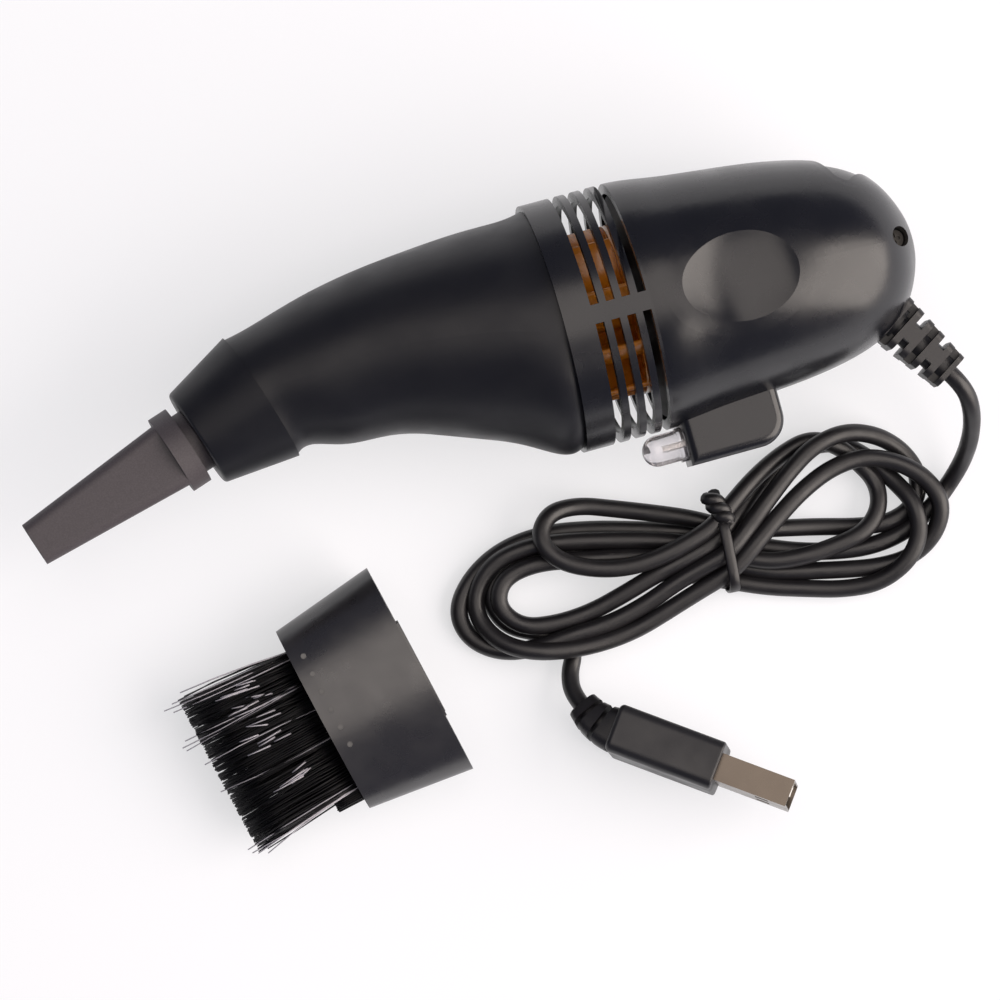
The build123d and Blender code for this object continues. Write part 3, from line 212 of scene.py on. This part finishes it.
# Spun-bonded polyester cloth: off-white, matte, with pressed fibres that show as a fine net.
FIBRE_SPACING = 0.4 * MM
FIBRE_DEPTH = 0.08 * MM
cloth = finish("spun bonded polyester", "#cfcec8", 0.9, Sheen_Weight=0.3)
tree, shader, place = surface_of(cloth)
fibres = add_node(
    tree, "ShaderNodeTexVoronoi", {"Vector": place, "Scale": 1 / FIBRE_SPACING}, feature="DISTANCE_TO_EDGE"
)
relief = add_node(
    tree, "ShaderNodeBump", {"Height": fibres.outputs["Distance"], "Distance": FIBRE_DEPTH, "Strength": 1.0}
)
tree.links.new(relief.outputs["Normal"], shader.inputs["Normal"])
tones = add_node(tree, "ShaderNodeValToRGB", {"Fac": fibres.outputs["Distance"]})
for stop, level, colour in zip(tones.color_ramp.elements, (0.0, 0.3), ("#bdbcb5", "#dad9d3")):
    stop.position = level
    stop.color = tint(colour)
tree.links.new(tones.outputs["Color"], shader.inputs["Base Color"])

# Cast epoxy of a lamp: water clear with a hint of violet, polished.
epoxy = finish("clear cast epoxy", "#f8f6fa", 0.03, grain=(1.5, 0.01), IOR=1.55, Transmission_Weight=0.82)

# Lacquered resistor: tan, satin, with the slight waves of a dipped coat.
lacquer = finish("resistor lacquer", "#bfa27c", 0.35, grain=(0.6, 0.02))

# Polyacetal switch knob: black, satin.
acetal = finish("black acetal", "#1d1d20", 0.36, grain=(0.3, 0.006), IOR=1.48)

# Soft PVC jacket of the cord: black, satin, faintly uneven.
cord_pvc = finish("soft PVC jacket", "#151417", 0.4, grain=(0.5, 0.012), wear=(5.0, 0.34, 0.5), IOR=1.53)

# PVC of the moulded strain reliefs: dark grey black, with a fine grain.
relief_pvc = finish("moulded PVC", "#1a191c", 0.42, grain=(0.25, 0.01), IOR=1.53)

# Coated wire tie: black, satin, slightly knobbly.
tie_pvc = finish("coated tie wire", "#161518", 0.4, grain=(0.4, 0.02), IOR=1.53)

# Moulded PVC of the plug's body: dark grey black, satin.
plug_pvc = finish("plug PVC", "#19191d", 0.4, grain=(0.3, 0.008), wear=(6.0, 0.36, 0.5), IOR=1.53)

# Nickel-plated steel of the plug's shell: warm grey, with a soft gloss that is a little uneven.
nickel = finish("nickel plated steel", "#665e56", 0.3, wear=(6.0, 0.24, 0.32), Metallic=1.0)

# PBT tongue: white, semi-matte.
pbt = finish("white PBT", "#dcdbd6", 0.5, grain=(0.3, 0.006), IOR=1.55)

# Gold flash on the contacts.
gold = finish("gold flash", "#d3a657", 0.25, wear=(0.6, 0.2, 0.35), Metallic=1.0)

# Moulded ABS of the brush head: near black, satin, with a wide soft highlight.
ferrule_abs = finish(
    "moulded ABS satin",
    "#1b1a1d",
    0.3,
    grain=(0.7, 0.005),
    wear=(6.0, 0.26, 0.34),
    IOR=1.54,
    Specular_IOR_Level=1.0,
)

# Nylon bristles: black, each filament with a long soft highlight.
bristle_nylon = finish(
    "nylon filament", "#0c0c10", 0.42, wear=(2.0, 0.38, 0.5), IOR=1.53, Specular_IOR_Level=0.3
)

# The same black nylon, coloured grey as a painted highlight where a filament bows up into the light, with a
# bright sheen.
nylon_painted_highlight = finish("nylon filament painted highlight", "#b9b7bf", 0.25, wear=(1.0, 0.16, 0.3), IOR=1.53)

# PVC insulation of the inside wires: red, satin.
wire_pvc = finish("wire insulation", "#8d1f1c", 0.42, grain=(0.4, 0.006), IOR=1.53)

finishes = {
    "shell": shell_abs,
    "nozzle": nozzle_abs,
    "screw": zinc,
    "inner_plastic": nylon,
    "steel": steel,
    "magnet": ferrite,
    "copper": copper,
    "bronze": bronze,
    "carbon": carbon,
    "fan": amber,
    "cloth": cloth,
    "lens": epoxy,
    "resistor": lacquer,
    "knob": acetal,
    "wire": wire_pvc,
    "cord": relief_pvc,
    "tie": tie_pvc,
    "plug_plastic": plug_pvc,
    "plug_metal": nickel,
    "plug_white": pbt,
    "gold": gold,
    "ferrule": ferrule_abs,
    "bristle": bristle_nylon,
}
for node in nodes.values():
    for held in node.material_slots:
        held.material = finishes[held.material.name.split(".")[0]]
nodes["armature_coils"].material_slots[0].material = enamelled_copper
for name in ("front_shell", "nose_ring"):
    nodes[name].material_slots[0].material = etched_abs


# ---------------------------------------------------------------- pieces in general
def place_piece(name, form, material, body):
    """A finished mesh or curve as a piece of the object."""
    piece = bpy.data.objects.new(name, form)
    bpy.context.scene.collection.objects.link(piece)
    form.materials.append(material)
    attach(piece, body)
    return piece


def mesh_of(form, name, smooth=True):
    """The mesh of a finished bmesh, which is then freed."""
    mesh = bpy.data.meshes.new(name)
    form.to_mesh(mesh)
    form.free()
    for face in mesh.polygons:
        face.use_smooth = smooth
    return mesh


def strands(name, routes, across, steps, rounding, material):
    """A piece of round cords or wires, one along each route of places in millimetres.

    Steps is how many straight stretches go from point to point, and rounding how finely the
    section is rounded.
    """
    curve = bpy.data.curves.new(name, "CURVE")
    curve.dimensions = "3D"
    for route in routes:
        spline = curve.splines.new("NURBS")
        spline.points.add(len(route) - 1)
        for point, (x, y, z) in zip(spline.points, route):
            point.co = (x * MM, y * MM, z * MM, 1)
        spline.order_u = 3
        spline.use_endpoint_u = True
        spline.resolution_u = steps
    curve.bevel_depth = across / 2
    curve.bevel_resolution = rounding
    curve.use_fill_caps = True
    return place_piece(name, curve, material, "body")


# ---------------------------------------------------------------- cord
# The cord leaves the strain relief, drops to the table and comes in to the hank. It goes round
# five times at the hank's left end and four times at its right, and comes out of it to the plug.
CORD_ACROSS = 2.9 * MM
cord_route = (
    # from the strain relief down to the table and in to the tie
    (48.81, -23.26, 20.2),
    (50.63, -26.14, 20.2),
    (51.4, -30.2, 17.0),
    (51.2, -34.2, 10.6),
    (49.9, -37.6, 4.9),
    (47.4, -40.6, 1.45),
    (43.6, -43.6, 1.45),
    (38.5, -46.3, 1.45),
    (32.5, -47.2, 1.45),
    (26.5, -46.4, 1.45),
    (20.5, -44.8, 1.45),
    (14.5, -42.3, 1.45),
    (9.0, -39.4, 1.45),
    # outer loop on the left
    (3.6, -36.9, 1.45),
    (-3.5, -34.6, 1.45),
    (-11.0, -32.4, 1.45),
    (-18.5, -31.0, 1.45),
    (-26.0, -31.6, 1.45),
    (-32.0, -34.6, 1.45),
    (-35.9, -39.2, 1.45),
    (-35.1, -44.2, 1.5),
    (-30.8, -47.7, 1.9),
    (-25.2, -48.6, 3.5),
    (-19.4, -48.0, 4.5),
    (-13.0, -47.9, 4.5),
    (-6.5, -46.5, 5.0),
    (-0.5, -44.2, 5.9),
    (4.5, -42.9, 6.7),
    (8.6, -41.9, 7.3),
    # upper loop on the right
    (13.4, -38.3, 7.3),
    (17.6, -34.9, 7.2),
    (21.8, -31.7, 7.1),
    (26.4, -28.9, 7.2),
    (32.0, -27.9, 6.4),
    (37.4, -29.8, 4.2),
    (41.2, -33.3, 2.1),
    (43.0, -38.2, 1.5),
    (40.9, -42.7, 1.45),
    (36.0, -44.3, 1.45),
    (30.6, -43.4, 1.45),
    (24.8, -41.8, 1.9),
    (19.2, -40.5, 2.9),
    (14.2, -39.4, 3.7),
    (9.2, -37.6, 3.9),
    # small top loop on the left
    (4.6, -34.9, 3.7),
    (-1.0, -32.5, 3.4),
    (-6.8, -30.2, 3.2),
    (-12.6, -28.0, 3.9),
    (-17.9, -28.0, 5.6),
    (-20.6, -31.8, 7.1),
    (-18.2, -36.0, 7.3),
    (-13.2, -38.6, 7.2),
    (-7.6, -39.9, 7.1),
    (-1.8, -39.6, 7.3),
    (3.4, -38.4, 7.5),
    (7.9, -36.9, 7.4),
    # innermost loop on the right
    (12.2, -33.7, 6.9),
    (16.8, -30.9, 6.0),
    (21.6, -28.8, 4.6),
    (26.4, -27.6, 4.35),
    (30.4, -29.4, 4.2),
    (33.4, -33.0, 2.6),
    (35.8, -37.2, 2.2),
    (34.9, -41.6, 3.6),
    (31.4, -44.6, 4.5),
    (26.0, -45.5, 4.35),
    (20.0, -45.8, 4.3),
    (14.0, -44.9, 4.1),
    (8.6, -41.5, 3.9),
    # second loop on the left, which ends as the lowest strand
    (3.6, -38.9, 3.9),
    (-2.4, -36.7, 3.9),
    (-8.6, -35.0, 4.0),
    (-15.0, -33.4, 4.1),
    (-21.6, -32.3, 3.9),
    (-28.0, -33.2, 3.2),
    (-32.2, -37.0, 2.4),
    (-33.0, -41.6, 2.5),
    (-30.8, -46.0, 4.4),
    (-26.4, -48.8, 5.9),
    (-20.4, -50.2, 5.0),
    (-14.0, -50.5, 4.2),
    (-8.6, -49.9, 4.2),
    (-4.0, -48.6, 4.6),
    (1.8, -46.8, 5.3),
    (8.9, -44.8, 6.2),
    # outer loop on the right, over the cord that comes in
    (13.6, -41.4, 7.0),
    (18.2, -38.2, 7.0),
    (23.0, -35.3, 6.6),
    (28.4, -33.1, 6.0),
    (34.0, -32.6, 5.5),
    (39.2, -34.7, 5.0),
    (43.4, -38.6, 4.6),
    (45.0, -43.4, 4.5),
    (42.8, -47.9, 2.9),
    (38.2, -50.6, 1.5),
    (32.4, -50.7, 1.45),
    (26.4, -49.5, 1.45),
    (20.4, -48.1, 1.45),
    (14.2, -46.5, 1.45),
    (8.2, -43.2, 1.45),
    # inner loop on the left, round its opening
    (3.4, -41.3, 2.2),
    (-2.0, -39.4, 3.6),
    (-8.0, -38.0, 4.1),
    (-14.6, -36.6, 4.2),
    (-21.6, -35.2, 4.3),
    (-27.6, -36.2, 4.3),
    (-29.6, -40.4, 4.2),
    (-26.6, -44.6, 4.0),
    (-21.0, -45.6, 3.7),
    (-15.0, -45.3, 3.8),
    (-9.0, -43.8, 4.6),
    (-3.6, -42.2, 5.4),
    (2.0, -41.0, 6.1),
    (8.2, -39.4, 6.3),
    # loop on the right that starts lowest and ends as the outermost strand
    (12.4, -35.8, 5.2),
    (16.9, -32.5, 3.3),
    (21.4, -30.2, 1.8),
    (26.2, -28.7, 1.45),
    (31.6, -29.4, 1.45),
    (35.8, -33.2, 1.45),
    (38.4, -37.6, 2.3),
    (40.5, -42.0, 4.5),
    (40.3, -46.8, 4.6),
    (37.4, -50.8, 4.4),
    (32.0, -53.2, 2.9),
    (26.0, -52.7, 1.8),
    (20.0, -50.9, 1.5),
    (14.0, -49.0, 1.45),
    (7.6, -46.1, 1.45),
    # last loop on the left, under the others
    (2.6, -43.9, 1.45),
    (-3.0, -40.9, 1.45),
    (-8.6, -37.6, 1.45),
    (-14.6, -35.0, 1.45),
    (-21.0, -33.9, 1.45),
    (-27.0, -34.6, 1.45),
    (-30.4, -38.6, 1.45),
    (-28.8, -43.8, 1.45),
    (-23.6, -46.4, 1.45),
    (-19.9, -48.9, 1.45),
    # out of the hank and up to the plug
    (-19.3, -51.2, 1.5),
    (-20.9, -53.8, 2.4),
    (-21.5, -57.2, 4.0),
    (-20.37, -59.8, 5.56),
)

cord = strands("cord", [cord_route], CORD_ACROSS, steps=8, rounding=5, material=cord_pvc)
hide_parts("cord_lead", "cord_hank", "cord_tail")

# ---------------------------------------------------------------- tie
# A coated wire goes once round the waist of the hank, flattened where it lies on the cord, and
# its ends are twisted into a short knot.
TIE_ACROSS = 1.8
TIE_THICK = 0.6
TIE_EDGE = 0.38  # where the rounded edge of the band starts, as a share of its width
WAIST_TOP = Vector((9.0, -35.6, 0))
WAIST_END = Vector((8.1, -48.0, 0))
WAIST_HEIGHT = 9.2
WAIST_CORNER = 3.2
CORNER_STEPS = 6


def waist_ring():
    """Middle line of the tie, as places along the waist from its middle, and heights."""
    reach = (WAIST_TOP - WAIST_END).length / 2
    middle = WAIST_HEIGHT / 2
    ring = []
    for quarter, (side, level) in enumerate(((1, 1), (-1, 1), (-1, -1), (1, -1))):
        for step in range(CORNER_STEPS + 1):
            turn = (quarter + step / CORNER_STEPS) * WHOLE_TURN / 4
            along = side * (reach - WAIST_CORNER) + WAIST_CORNER * math.cos(turn)
            up = middle + level * (middle - WAIST_CORNER) + WAIST_CORNER * math.sin(turn)
            ring.append((along, up))
    return ring


def tie_band():
    """The flat band of the tie: its section, extruded round the waist and joined to its start."""
    way = (WAIST_TOP - WAIST_END).normalized()
    across = way.cross(UP)
    centre = (WAIST_TOP + WAIST_END) / 2
    stands = []
    for along, up in waist_ring():
        here = centre + way * along + UP * up
        inward = (centre + UP * WAIST_HEIGHT / 2 - here).normalized()
        stand = Matrix((across, inward, across.cross(inward))).transposed().to_4x4()
        stand.translation = here
        stands.append(Matrix.Scale(MM, 4) @ stand)

    form = bmesh.new()
    outline = ((-0.5, 0), (-TIE_EDGE, -0.5), (TIE_EDGE, -0.5), (0.5, 0), (TIE_EDGE, 0.5), (-TIE_EDGE, 0.5))
    section = [form.verts.new((side * TIE_ACROSS, depth * TIE_THICK, 0)) for side, depth in outline]
    start = [form.edges.new(pair) for pair in zip(section, section[1:] + section[:1])]
    bmesh.ops.transform(form, matrix=stands[0], verts=section)
    end = start
    for here, after in zip(stands, stands[1:]):
        grown = bmesh.ops.extrude_edge_only(form, edges=end)["geom"]
        end = [part for part in grown if isinstance(part, bmesh.types.BMEdge)]
        moved = [part for part in grown if isinstance(part, bmesh.types.BMVert)]
        bmesh.ops.transform(form, matrix=after @ here.inverted(), verts=moved)
    bmesh.ops.bridge_loops(form, edges=start + end)
    bmesh.ops.recalc_face_normals(form, faces=form.faces)
    return mesh_of(form, "tie band")


tie = place_piece("tie", tie_band(), tie_pvc, "body")
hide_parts("cord_tie")

# The tie's two ends, twisted round each other, stand out of the top of the waist.
KNOT_ROOT = Vector((9.7, -37.0, 8.4))
KNOT_TIP = Vector((8.1, -32.2, 7.4))
KNOT_WIRE = 2.1 * MM
KNOT_TURNS = 1.5
KNOT_POINTS = 22
KNOT_SPREAD = 0.75
KNOT_START_SHARE = 0.3  # share of that spread at the root, where the wires part quickly
KNOT_PARTING = 6


def knot_wire(start):
    """One wire of the knot, which starts at the given turn about the knot's middle line."""
    way = (KNOT_TIP - KNOT_ROOT).normalized()
    side = way.cross(UP).normalized()
    top = side.cross(way)
    route = []
    for at in range(KNOT_POINTS):
        share = at / (KNOT_POINTS - 1)
        turn = start + share * KNOT_TURNS * WHOLE_TURN
        spread = KNOT_SPREAD * min(1.0, share * KNOT_PARTING + KNOT_START_SHARE)
        outward = side * math.cos(turn) + top * math.sin(turn)
        route.append(KNOT_ROOT.lerp(KNOT_TIP, share) + outward * spread)
    return route


knot_wires = [knot_wire(0), knot_wire(WHOLE_TURN / 2)]
knot = strands("tie_knot", knot_wires, KNOT_WIRE, steps=12, rounding=3, material=tie_pvc)

# ---------------------------------------------------------------- bristles
# Several hundred tapered filaments stand in the brush head's narrow end and spread a little.
HEAD_WIDE_HEIGHT = 18.6
HEAD_NARROW_HEIGHT = 16.0
HEAD_LENGTH = 17.6
BRUSH_HEADING = math.radians(12.65)
BRUSH_RISE = math.atan2((HEAD_WIDE_HEIGHT - HEAD_NARROW_HEIGHT) / 2, HEAD_LENGTH)
brush_root = Vector((-61.65, -50.3, HEAD_NARROW_HEIGHT / 2 * math.cos(BRUSH_RISE)))
brush_out = -Vector(
    (
        math.cos(BRUSH_HEADING) * math.cos(BRUSH_RISE),
        math.sin(BRUSH_HEADING) * math.cos(BRUSH_RISE),
        math.sin(BRUSH_RISE),
    )
)
brush_across = Vector((-math.sin(BRUSH_HEADING), math.cos(BRUSH_HEADING), 0))
brush_up = brush_across.cross(brush_out)

FILAMENT_RINGS = (0.35, 0.7, 1.0)  # shares of its length, after the ring at its root
FILAMENT_TAPER = 0.35
ROOT_SUNK = 1.2

# The tuft across the brush and in depth: its size at the root and at the tips, and its limits.
TUFT_COLUMNS, TUFT_ROWS = 56, 12
TUFT_ROOT_WIDE, TUFT_ROOT_DEEP = 24.3, 6.6
TUFT_TIP_WIDE, TUFT_TIP_DEEP = 26.4, 5.6
TUFT_WIDE_LIMIT, TUFT_DEEP_LIMIT = 14.0, 3.2
TUFT_LONGEST = 18.9
TUFT_SHORTER = 3.4
TUFT_FILAMENT = 0.18

# How far its filaments stray across and in depth: at the root as shares of the tuft, and at the
# tip and in their bow in millimetres.
ROOT_STRAY_ACROSS, ROOT_STRAY_DEEP = 0.009, 0.03
TIP_STRAY_ACROSS, TIP_STRAY_DEEP = 0.45, 0.25
BOW_ACROSS, BOW_DEEP = 0.25, 0.15

# A low stiff tuft beside it, at the end of the row.
CORNER_COLUMNS, CORNER_ROWS = 7, 10
CORNER_START = -12.3
CORNER_COLUMN_SPACING, CORNER_ROW_SPACING = 0.3, 0.55
CORNER_LENGTH = 4.4
CORNER_LENGTH_STRAY, CORNER_ROW_STRAY = 0.3, 0.1
CORNER_FILAMENT = 0.2


def straight_filament():
    """A three-sided filament of length 1 along Z and radius 1 at its root, thinner at its tip."""
    form = bmesh.new()
    bmesh.ops.create_circle(form, cap_ends=True, radius=1, segments=3)
    form.faces.ensure_lookup_table()
    end = form.faces[0]
    before = 0.0
    for share in FILAMENT_RINGS:
        grown = bmesh.ops.extrude_face_region(form, geom=[end, *end.edges, *end.verts])["geom"]
        end = next(part for part in grown if isinstance(part, bmesh.types.BMFace))
        ring = [part for part in grown if isinstance(part, bmesh.types.BMVert)]
        thinner = (1 - FILAMENT_TAPER * share) / (1 - FILAMENT_TAPER * before)
        bmesh.ops.scale(form, vec=(thinner, thinner, 1), verts=ring)
        bmesh.ops.translate(form, vec=(0, 0, share - before), verts=ring)
        before = share
    return mesh_of(form, "straight filament")


straight = straight_filament()


def filament(form, root, tip, thick, bow):
    """Adds one filament from root to tip, whose middle stands out by the given bow."""
    way = (tip - root).normalized()
    side = way.cross(brush_up).normalized()
    top = side.cross(way)
    form.from_mesh(straight)
    form.verts.ensure_lookup_table()
    for vert in form.verts[-len(straight.vertices) :]:
        x, y, share = vert.co
        middle = root.lerp(tip, share) + bow * 4 * share * (1 - share)
        vert.co = (middle + side * thick * x + top * thick * y) * MM


def brush_point(across, level, out):
    """A place so far across the tuft, above its middle and out from its root, in millimetres."""
    return brush_root + brush_across * across + brush_up * level + brush_out * out


def brush_tuft():
    """The tuft, and the low corner tuft beside it."""
    chance = random.Random(7)
    form = bmesh.new()
    for column in range(TUFT_COLUMNS):
        for row in range(TUFT_ROWS):
            across = (column + 0.5) / TUFT_COLUMNS - 0.5
            across += chance.uniform(-ROOT_STRAY_ACROSS, ROOT_STRAY_ACROSS)
            level = (row + 0.5) / TUFT_ROWS - 0.5 + chance.uniform(-ROOT_STRAY_DEEP, ROOT_STRAY_DEEP)
            root = brush_point(across * TUFT_ROOT_WIDE, level * TUFT_ROOT_DEEP, -ROOT_SUNK)
            reach = TUFT_LONGEST - TUFT_SHORTER * chance.random() ** 3
            tip_across = across * TUFT_TIP_WIDE + chance.gauss(0, TIP_STRAY_ACROSS)
            tip_level = level * TUFT_TIP_DEEP + chance.gauss(0, TIP_STRAY_DEEP)
            tip = brush_point(
                max(-TUFT_WIDE_LIMIT, min(TUFT_WIDE_LIMIT, tip_across)),
                max(-TUFT_DEEP_LIMIT, min(TUFT_DEEP_LIMIT, tip_level)),
                reach,
            )
            bow = brush_across * chance.gauss(0, BOW_ACROSS) + brush_up * chance.gauss(0, BOW_DEEP)
            filament(form, root, tip, TUFT_FILAMENT, bow)
    for column in range(CORNER_COLUMNS):
        for row in range(CORNER_ROWS):
            across = CORNER_START - CORNER_COLUMN_SPACING * column
            level = (row - (CORNER_ROWS - 1) / 2) * CORNER_ROW_SPACING
            level += chance.uniform(-CORNER_ROW_STRAY, CORNER_ROW_STRAY)
            root = brush_point(across, level, -ROOT_SUNK)
            reach = CORNER_LENGTH + chance.uniform(-CORNER_LENGTH_STRAY, CORNER_LENGTH_STRAY)
            tip = brush_point(across, level, reach)
            filament(form, root, tip, CORNER_FILAMENT, Vector((0, 0, 0)))
    bmesh.ops.recalc_face_normals(form, faces=form.faces)
    return mesh_of(form, "bristles")


# Filaments that stand out of the tuft: across at the root, across at the tip, and reach.
STRAY_WAYS = (
    (12.0, 13.2, 21.6),
    (11.8, 13.6, 20.0),
    (12.1, 14.6, 18.0),
    (11.0, 12.3, 20.4),
    (7.2, 6.6, 21.8),
    (6.6, 5.9, 21.4),
    (6.2, 7.4, 20.9),
    (2.0, 2.6, 19.9),
    (-3.0, -2.4, 19.7),
    (-11.6, -13.4, 19.8),
    (-11.9, -13.9, 19.0),
    (-11.2, -12.6, 20.2),
    (-12.0, -14.6, 17.6),
)
STRAY_ROOT_LEVEL, STRAY_TIP_LEVEL = 2.6, 2.2
STRAY_SUNK = 1.0
STRAY_BOW_ACROSS, STRAY_BOW_UP = 0.3, 0.25
STRAY_FILAMENT = 0.17

# Short stretches of filament that bow up on top of the tuft; their grey colour is a painted highlight where
# they catch the light.
BOWED_COUNT = 26
BOWED_LIMIT = 11.0
BOWED_START = (5.0, 11.5)
BOWED_LENGTH = (2.4, 5.6)
BOWED_TURN = 0.35
BOWED_ROOT_LEVEL, BOWED_TIP_LEVEL = 2.9, 2.8
BOWED_SPREAD = 1.05
BOWED_HEIGHT = 0.3
BOWED_FILAMENT = 0.2


def stray_filaments():
    """Long filaments that stand out of the tuft, and bowed ones that lie on it."""
    chance = random.Random(11)
    form = bmesh.new()
    for across, spread, reach in STRAY_WAYS:
        root = brush_point(across, STRAY_ROOT_LEVEL, -STRAY_SUNK)
        tip = brush_point(spread, STRAY_TIP_LEVEL, reach)
        bow = brush_across * chance.gauss(0, STRAY_BOW_ACROSS) + brush_up * STRAY_BOW_UP
        filament(form, root, tip, STRAY_FILAMENT, bow)
    for _ in range(BOWED_COUNT):
        across = chance.uniform(-BOWED_LIMIT, BOWED_LIMIT)
        start = chance.uniform(*BOWED_START)
        length = chance.uniform(*BOWED_LENGTH)
        turn = chance.gauss(0, BOWED_TURN)
        root = brush_point(across, BOWED_ROOT_LEVEL, start)
        tip = brush_point(across * BOWED_SPREAD + turn, BOWED_TIP_LEVEL, start + length)
        filament(form, root, tip, BOWED_FILAMENT, brush_up * BOWED_HEIGHT)
    bmesh.ops.recalc_face_normals(form, faces=form.faces)
    return mesh_of(form, "stray bristles")


bristles = place_piece("bristles", brush_tuft(), bristle_nylon, "brush")
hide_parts("brush_bristles")
# The stray and bowed filaments take the grey nylon, whose colour is a painted highlight.
place_piece("stray_bristles", stray_filaments(), nylon_painted_highlight, "brush")

# ---------------------------------------------------------------- lamp
# Inside the clear lamp: two posts, one with a cup that holds the chip. Each bar is its start and
# end along the lamp's axis, its height from that axis and its own height.
LAMP_AXIS_Y = -23.05
LAMP_AXIS_Z = 20.2
LAMP_WIRE = 0.5
LAMP_BARS = (
    (1.6, 6.4, -1.27, LAMP_WIRE),
    (1.2, 6.4, 1.27, LAMP_WIRE),
    (1.05, 2.15, -0.5, 2.0),
)


def lamp_frame():
    """The two posts and the cup, each a straight bar."""
    form = bmesh.new()
    for front, back, level, height in LAMP_BARS:
        bar = bmesh.ops.create_cube(form, size=MM)["verts"]
        bmesh.ops.scale(form, vec=(back - front, LAMP_WIRE, height), verts=bar)
        middle = Vector(((front + back) / 2, LAMP_AXIS_Y, LAMP_AXIS_Z + level)) * MM
        bmesh.ops.translate(form, vec=middle, verts=bar)
    return mesh_of(form, "lamp frame", smooth=False)


place_piece("lamp_frame", lamp_frame(), steel, "body")

# ---------------------------------------------------------------- table
# A matte white table. The camera, gloss and clear pieces see part of its light as plain white,
# and the rest as its lit paint, which keeps the shadow.
TABLE_REACH = 3000 * MM
PLAIN_WHITE_SHARE = 0.58

table_paint = bpy.data.materials.new("pale table")
table_paint.use_nodes = True
tree = table_paint.node_tree
tree.nodes.clear()
ray = add_node(tree, "ShaderNodeLightPath")
seen_or_mirrored = add_node(
    tree,
    "ShaderNodeMath",
    {0: ray.outputs["Is Camera Ray"], 1: ray.outputs["Is Glossy Ray"]},
    operation="ADD",
)
shown = add_node(
    tree,
    "ShaderNodeMath",
    {0: seen_or_mirrored.outputs[0], 1: ray.outputs["Is Transmission Ray"]},
    operation="ADD",
    use_clamp=True,
)
share = add_node(tree, "ShaderNodeMath", {0: shown.outputs[0], 1: PLAIN_WHITE_SHARE}, operation="MULTIPLY")
paint = add_node(tree, "ShaderNodeBsdfDiffuse", {"Color": tint("#f4f6ff")})
plain_white = add_node(tree, "ShaderNodeEmission", {"Color": (1, 1, 1, 1), "Strength": 1.0})
mixed = add_node(
    tree,
    "ShaderNodeMixShader",
    {"Fac": share.outputs[0], 1: paint.outputs[0], 2: plain_white.outputs[0]},
)
add_node(tree, "ShaderNodeOutputMaterial", {"Surface": mixed.outputs[0]})

form = bmesh.new()
bmesh.ops.create_grid(form, x_segments=1, y_segments=1, size=TABLE_REACH)
table = bpy.data.objects.new("table", mesh_of(form, "table", smooth=False))
table.data.materials.append(table_paint)
bpy.context.scene.collection.objects.link(table)
table.location.z = cad_box[0].z

# ---------------------------------------------------------------- light
world = bpy.data.worlds.new("studio")
world.use_nodes = True
world.node_tree.nodes["Background"].inputs["Color"].default_value = tint("#dcdffa")
world.node_tree.nodes["Background"].inputs["Strength"].default_value = 0.2
bpy.context.scene.world = world


def softbox(name, place, size, radiance):
    """A square area light that faces the object. Its place and size are in metres."""
    light = bpy.data.lights.new(name, "AREA")
    light.shape = "SQUARE"
    light.size = size
    light.energy = radiance * math.pi * size**2
    light.color = tint("#fff4ea")[:3]
    stand = bpy.data.objects.new(name, light)
    stand.location = place
    stand.rotation_euler = (-Vector(place)).to_track_quat("-Z", "Y").to_euler()
    bpy.context.scene.collection.objects.link(stand)


softbox("overhead softbox", (-0.02, 0.16, 1.25), size=1.1, radiance=1.8)
softbox("side softbox", (0.88, -0.4, 0.62), size=1.3, radiance=4.6)

# ---------------------------------------------------------------- camera
# The camera looks almost straight down, from a little beyond the nozzle's end.
CAMERA_LEAN = math.radians(5.4)
CAMERA_AWAY = 900 * MM
camera_aim = Vector((-25.8, -23.9, 18.0)) * MM
picture_right = Vector((0.965, -0.264, 0))

back = Vector((-math.sin(CAMERA_LEAN), 0, math.cos(CAMERA_LEAN)))
right = (picture_right - back * picture_right.dot(back)).normalized()
camera_data = bpy.data.cameras.new("camera")
camera_data.sensor_width = 36
camera_data.lens = 204.12
camera_data.clip_start = 0.05
camera_data.clip_end = 20
camera = bpy.data.objects.new("camera", camera_data)
stand = Matrix((right, back.cross(right), back)).transposed().to_4x4()
stand.translation = camera_aim + back * CAMERA_AWAY
camera.matrix_world = stand
bpy.context.scene.collection.objects.link(camera)
bpy.context.scene.camera = camera
bpy.context.scene.view_settings.view_transform = "Standard"
